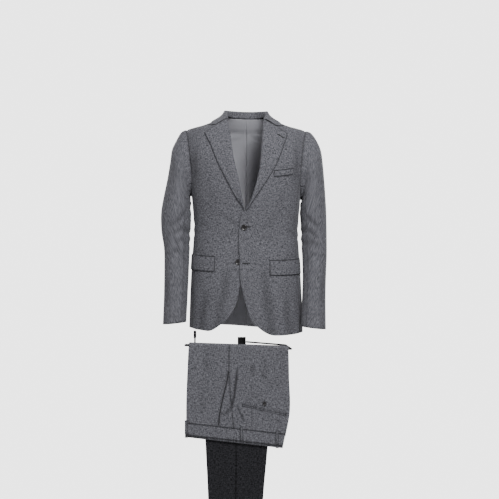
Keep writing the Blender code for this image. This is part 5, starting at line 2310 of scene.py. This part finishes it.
@dataclass
class RailParts:
    """The trouser rail: a bent rod, the saddle that fastens it and the cap on its end."""

    finishes: Finishes
    rear_z: float = -0.7936
    bar_end: float = -0.2070
    peg_x: float = -0.1746
    peg_y: float = -0.1225

    def route(self, radius: float = 0.009, steps: int = 14) -> list[Vector]:
        """Return the rod's centre line with its corners bent round."""
        corners = [
            Vector(c)
            for c in (
                (0.0, -0.009, self.rear_z - 0.0002),
                (0.140, -0.009, -0.8048),
                (0.1560, RAIL.y, RAIL.height(0.156)),
                (self.bar_end, RAIL.y, RAIL.height(self.bar_end)),
                (self.bar_end, self.peg_y, RAIL.height(self.bar_end)),
                (self.peg_x, self.peg_y, RAIL.height(self.peg_x) + 0.002),
                (self.peg_x, self.peg_y, -0.7700),
            )
        ]
        route = [corners[0]]
        for before, corner, after in zip(corners, corners[1:], corners[2:]):
            start = corner + (before - corner).normalized() * radius
            end = corner + (after - corner).normalized() * radius
            for t in spread(0.0, 1.0, steps):
                route.append((1 - t) ** 2 * start + 2 * t * (1 - t) * corner + t**2 * end)
        return route + [corners[-1]]

    def saddle(self) -> bpy.types.Object:
        """Make the saddle: a block with rounded edges."""
        mesh = bpy.data.meshes.new("rail_saddle_block")
        shape = bmesh.new()
        bmesh.ops.create_cube(shape, size=1.0)
        for corner in shape.verts:
            corner.co = Vector((corner.co.x * 0.0290, corner.co.y * 0.012, corner.co.z * 0.034))
            corner.co += Vector((-0.0150, -0.009, self.rear_z))
        bmesh.ops.bevel(shape, geom=list(shape.edges), offset=0.0016, segments=4, profile=0.5, affect="EDGES")
        shape.to_mesh(mesh)
        shape.free()
        mesh.materials.append(self.finishes.steel)
        mesh.shade_smooth()
        mesh.set_sharp_from_angle(angle=math.radians(60))
        return link(bpy.data.objects.new("rail_saddle_block", mesh))

    def build(self) -> list[bpy.types.Object]:
        """Make the rod, the saddle with its screws, and the cap, and return them."""
        rod = strand("rail_rod_bent", [self.route()], RAIL.radius, self.finishes.steel)
        thin(rod, "rail_rod")
        block = thin(self.saddle(), "rail_saddle")
        low = -0.7700 + SEAM_GAP
        profile = (
            (0.0036, 0.0), (0.0045, 0.0004), (0.00475, 0.0016), (0.00475, 0.0205), (0.0044, 0.0230),
            (0.0032, 0.0246), (0.0014, 0.0250)
        )
        cap = turned_solid("rail_cap_round", profile, 40, self.finishes.steel)
        turn_to(cap, Vector((self.peg_x, self.peg_y, low)), Vector((0, 0, 1)))
        thin(cap, "rail_cap")
        made = [rod, block, cap]
        head = (
            (0.0010, -0.0006), (0.0034, -0.0006), (0.0036, 0.0), (0.0032, 0.0009), (0.0018, 0.0013),
            (0.0006, 0.00135)
        )
        for number, dz in enumerate((-0.0105, 0.0105), start=1):
            screw = turned_solid(f"saddle_screw_{number}", head, 28, self.finishes.steel)
            turn_to(screw, Vector((-0.0225, -0.0150, self.rear_z + dz)), Vector((0, -1, 0)))
            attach(screw, "root")
            made.append(screw)
        return made


# The soft lamps: name, place, height of the point they look at, size and watts
LAMPS = (
    ("key", (0.9, -2.7, 1.6), -0.6, 1.0, 125.0),
    ("fill", (-2.0, -2.7, 0.9), -0.3, 1.8, 30.0),
    ("back_left", (-1.8, 2.6, 0.9), -0.5, 1.6, 40.0),
    ("back_right", (1.8, 2.6, 0.9), -0.5, 1.6, 40.0),
)


@dataclass
class Studio:
    """A plain pale floor, soft light and the camera at the photograph's angle."""

    floor_z: float = -1.560
    floor_half: float = 0.80
    sweep_radius: float = 12.0
    sweep_glow: float = 3.0
    net_density: float = 0.80
    sky_strength: float = 0.28
    camera_at: tuple[float, float, float] = (0.0124, -3.600, -0.467)
    lens: float = 73.2

    def sheet(self, name: str, corners: Sequence[tuple], finish: str, values: dict) -> bpy.types.Object:
        """Make a flat sheet of four corners with a plain finish.

        Args:
            name: Name of the sheet.
            corners: Its corners in order.
            finish: Name of its material.
            values: The material's uniform values.

        Returns:
            The sheet.
        """
        mesh = bpy.data.meshes.new(name)
        mesh.from_pydata(corners, [], [(0, 1, 2, 3)])
        mesh.materials.append(Recipe(finish).finish({}, values))
        return link(bpy.data.objects.new(name, mesh))

    def floor(self) -> bpy.types.Object:
        """Make the floor."""
        h, z = self.floor_half, self.floor_z
        values = {"Base Color": linear("#F6F6F6"), "Roughness": 0.9, "Specular IOR Level": 0.0}
        item = self.sheet(
            "floor", ((-h, -h, z), (h, -h, z), (h, h, z), (-h, h, z)), "matt_white_vinyl", values
        )
        return item

    def sweep(self) -> bpy.types.Object:
        """Make the backdrop all round, lit for itself, so that it looks white and adds no light."""
        shape = bmesh.new()
        bmesh.ops.create_icosphere(shape, subdivisions=4, radius=self.sweep_radius)
        mesh = bpy.data.meshes.new("backdrop")
        shape.to_mesh(mesh)
        shape.free()
        white = linear("#FFFFFF")
        values = {"Base Color": white, "Emission Color": white, "Emission Strength": self.sweep_glow}
        mesh.materials.append(Recipe("lit_white_paper").finish({}, values))
        item = link(bpy.data.objects.new("backdrop", mesh))
        item.visible_diffuse = False
        item.visible_glossy = False
        item.visible_shadow = False
        return item

    def net(self) -> bpy.types.Object:
        """Make the dark net that keeps most of the light off the trouser legs behind the fold.

        It is a part of the studio: it only holds light back, and the camera doesn't see it.

        Returns:
            The net.
        """
        left, right = -0.185, 0.120
        top, low = RAIL.height(right) - 0.02, self.floor_z + 0.01
        corners = [(x, RAIL.y, z) for x, z in ((left, top), (right, top), (right, low), (left, low))]
        values = {"Base Color": linear("#050505"), "Specular IOR Level": 0.0, "Alpha": self.net_density}
        item = self.sheet("light_net", corners, "black_scrim_netting", values)
        item.visible_camera = False
        return item

    def lamp(
        self, name: str, place: tuple[float, float, float], aim: tuple[float, float, float], size: float,
        watts: float
    ) -> None:
        """Add a soft square lamp that looks at a point."""
        light = bpy.data.lights.new(name, "AREA")
        light.size = size
        light.energy = watts
        item = link(bpy.data.objects.new(name, light))
        item.location = place
        item.rotation_euler = (Vector(aim) - Vector(place)).to_track_quat("-Z", "Y").to_euler()

    def build(self) -> None:
        """Set the floor, the lamps, the surroundings and the camera."""
        self.floor()
        self.sweep()
        self.net()
        for name, place, aim_z, size, watts in LAMPS:
            self.lamp(name, place, (0.0, 0.0, aim_z), size, watts)
        world = bpy.data.worlds.new("studio")
        world.use_nodes = True
        world.node_tree.nodes["Background"].inputs["Color"].default_value = linear("#FFFFFF")
        world.node_tree.nodes["Background"].inputs["Strength"].default_value = self.sky_strength
        bpy.context.scene.world = world
        camera = bpy.data.cameras.new("camera")
        camera.lens = self.lens
        camera.sensor_width = 36.0
        item = link(bpy.data.objects.new("camera", camera))
        item.location = self.camera_at
        item.rotation_euler = (math.radians(90), 0.0, 0.0)
        bpy.context.scene.camera = item


def main() -> None:
    """Build the suit and its studio."""
    logging.basicConfig(level=logging.INFO, format="%(message)s")
    finishes = Finishes.make()
    trousers = FoldedTrousers(finishes)
    groups = (
        ("body", JacketBody(finishes).build()),
        ("sleeves", Sleeves(finishes).build()),
        ("lapels and collar", LapelsAndCollar(finishes).build()),
        ("pockets", JacketPockets(finishes).build()),
        ("trousers", trousers.build()),
        ("rail", RailParts(finishes).build()),
    )
    pieces = {item.name: item for _, items in groups for item in items}
    for title, items in groups:
        for item in items:
            LOG.info("%s: %s, %d faces", title, item.name, len(item.data.polygons))
    Buttons(finishes).build(trousers)
    Sewing(finishes).build(pieces, trousers)
    Studio().build()


if __name__ == "__main__":
    main()
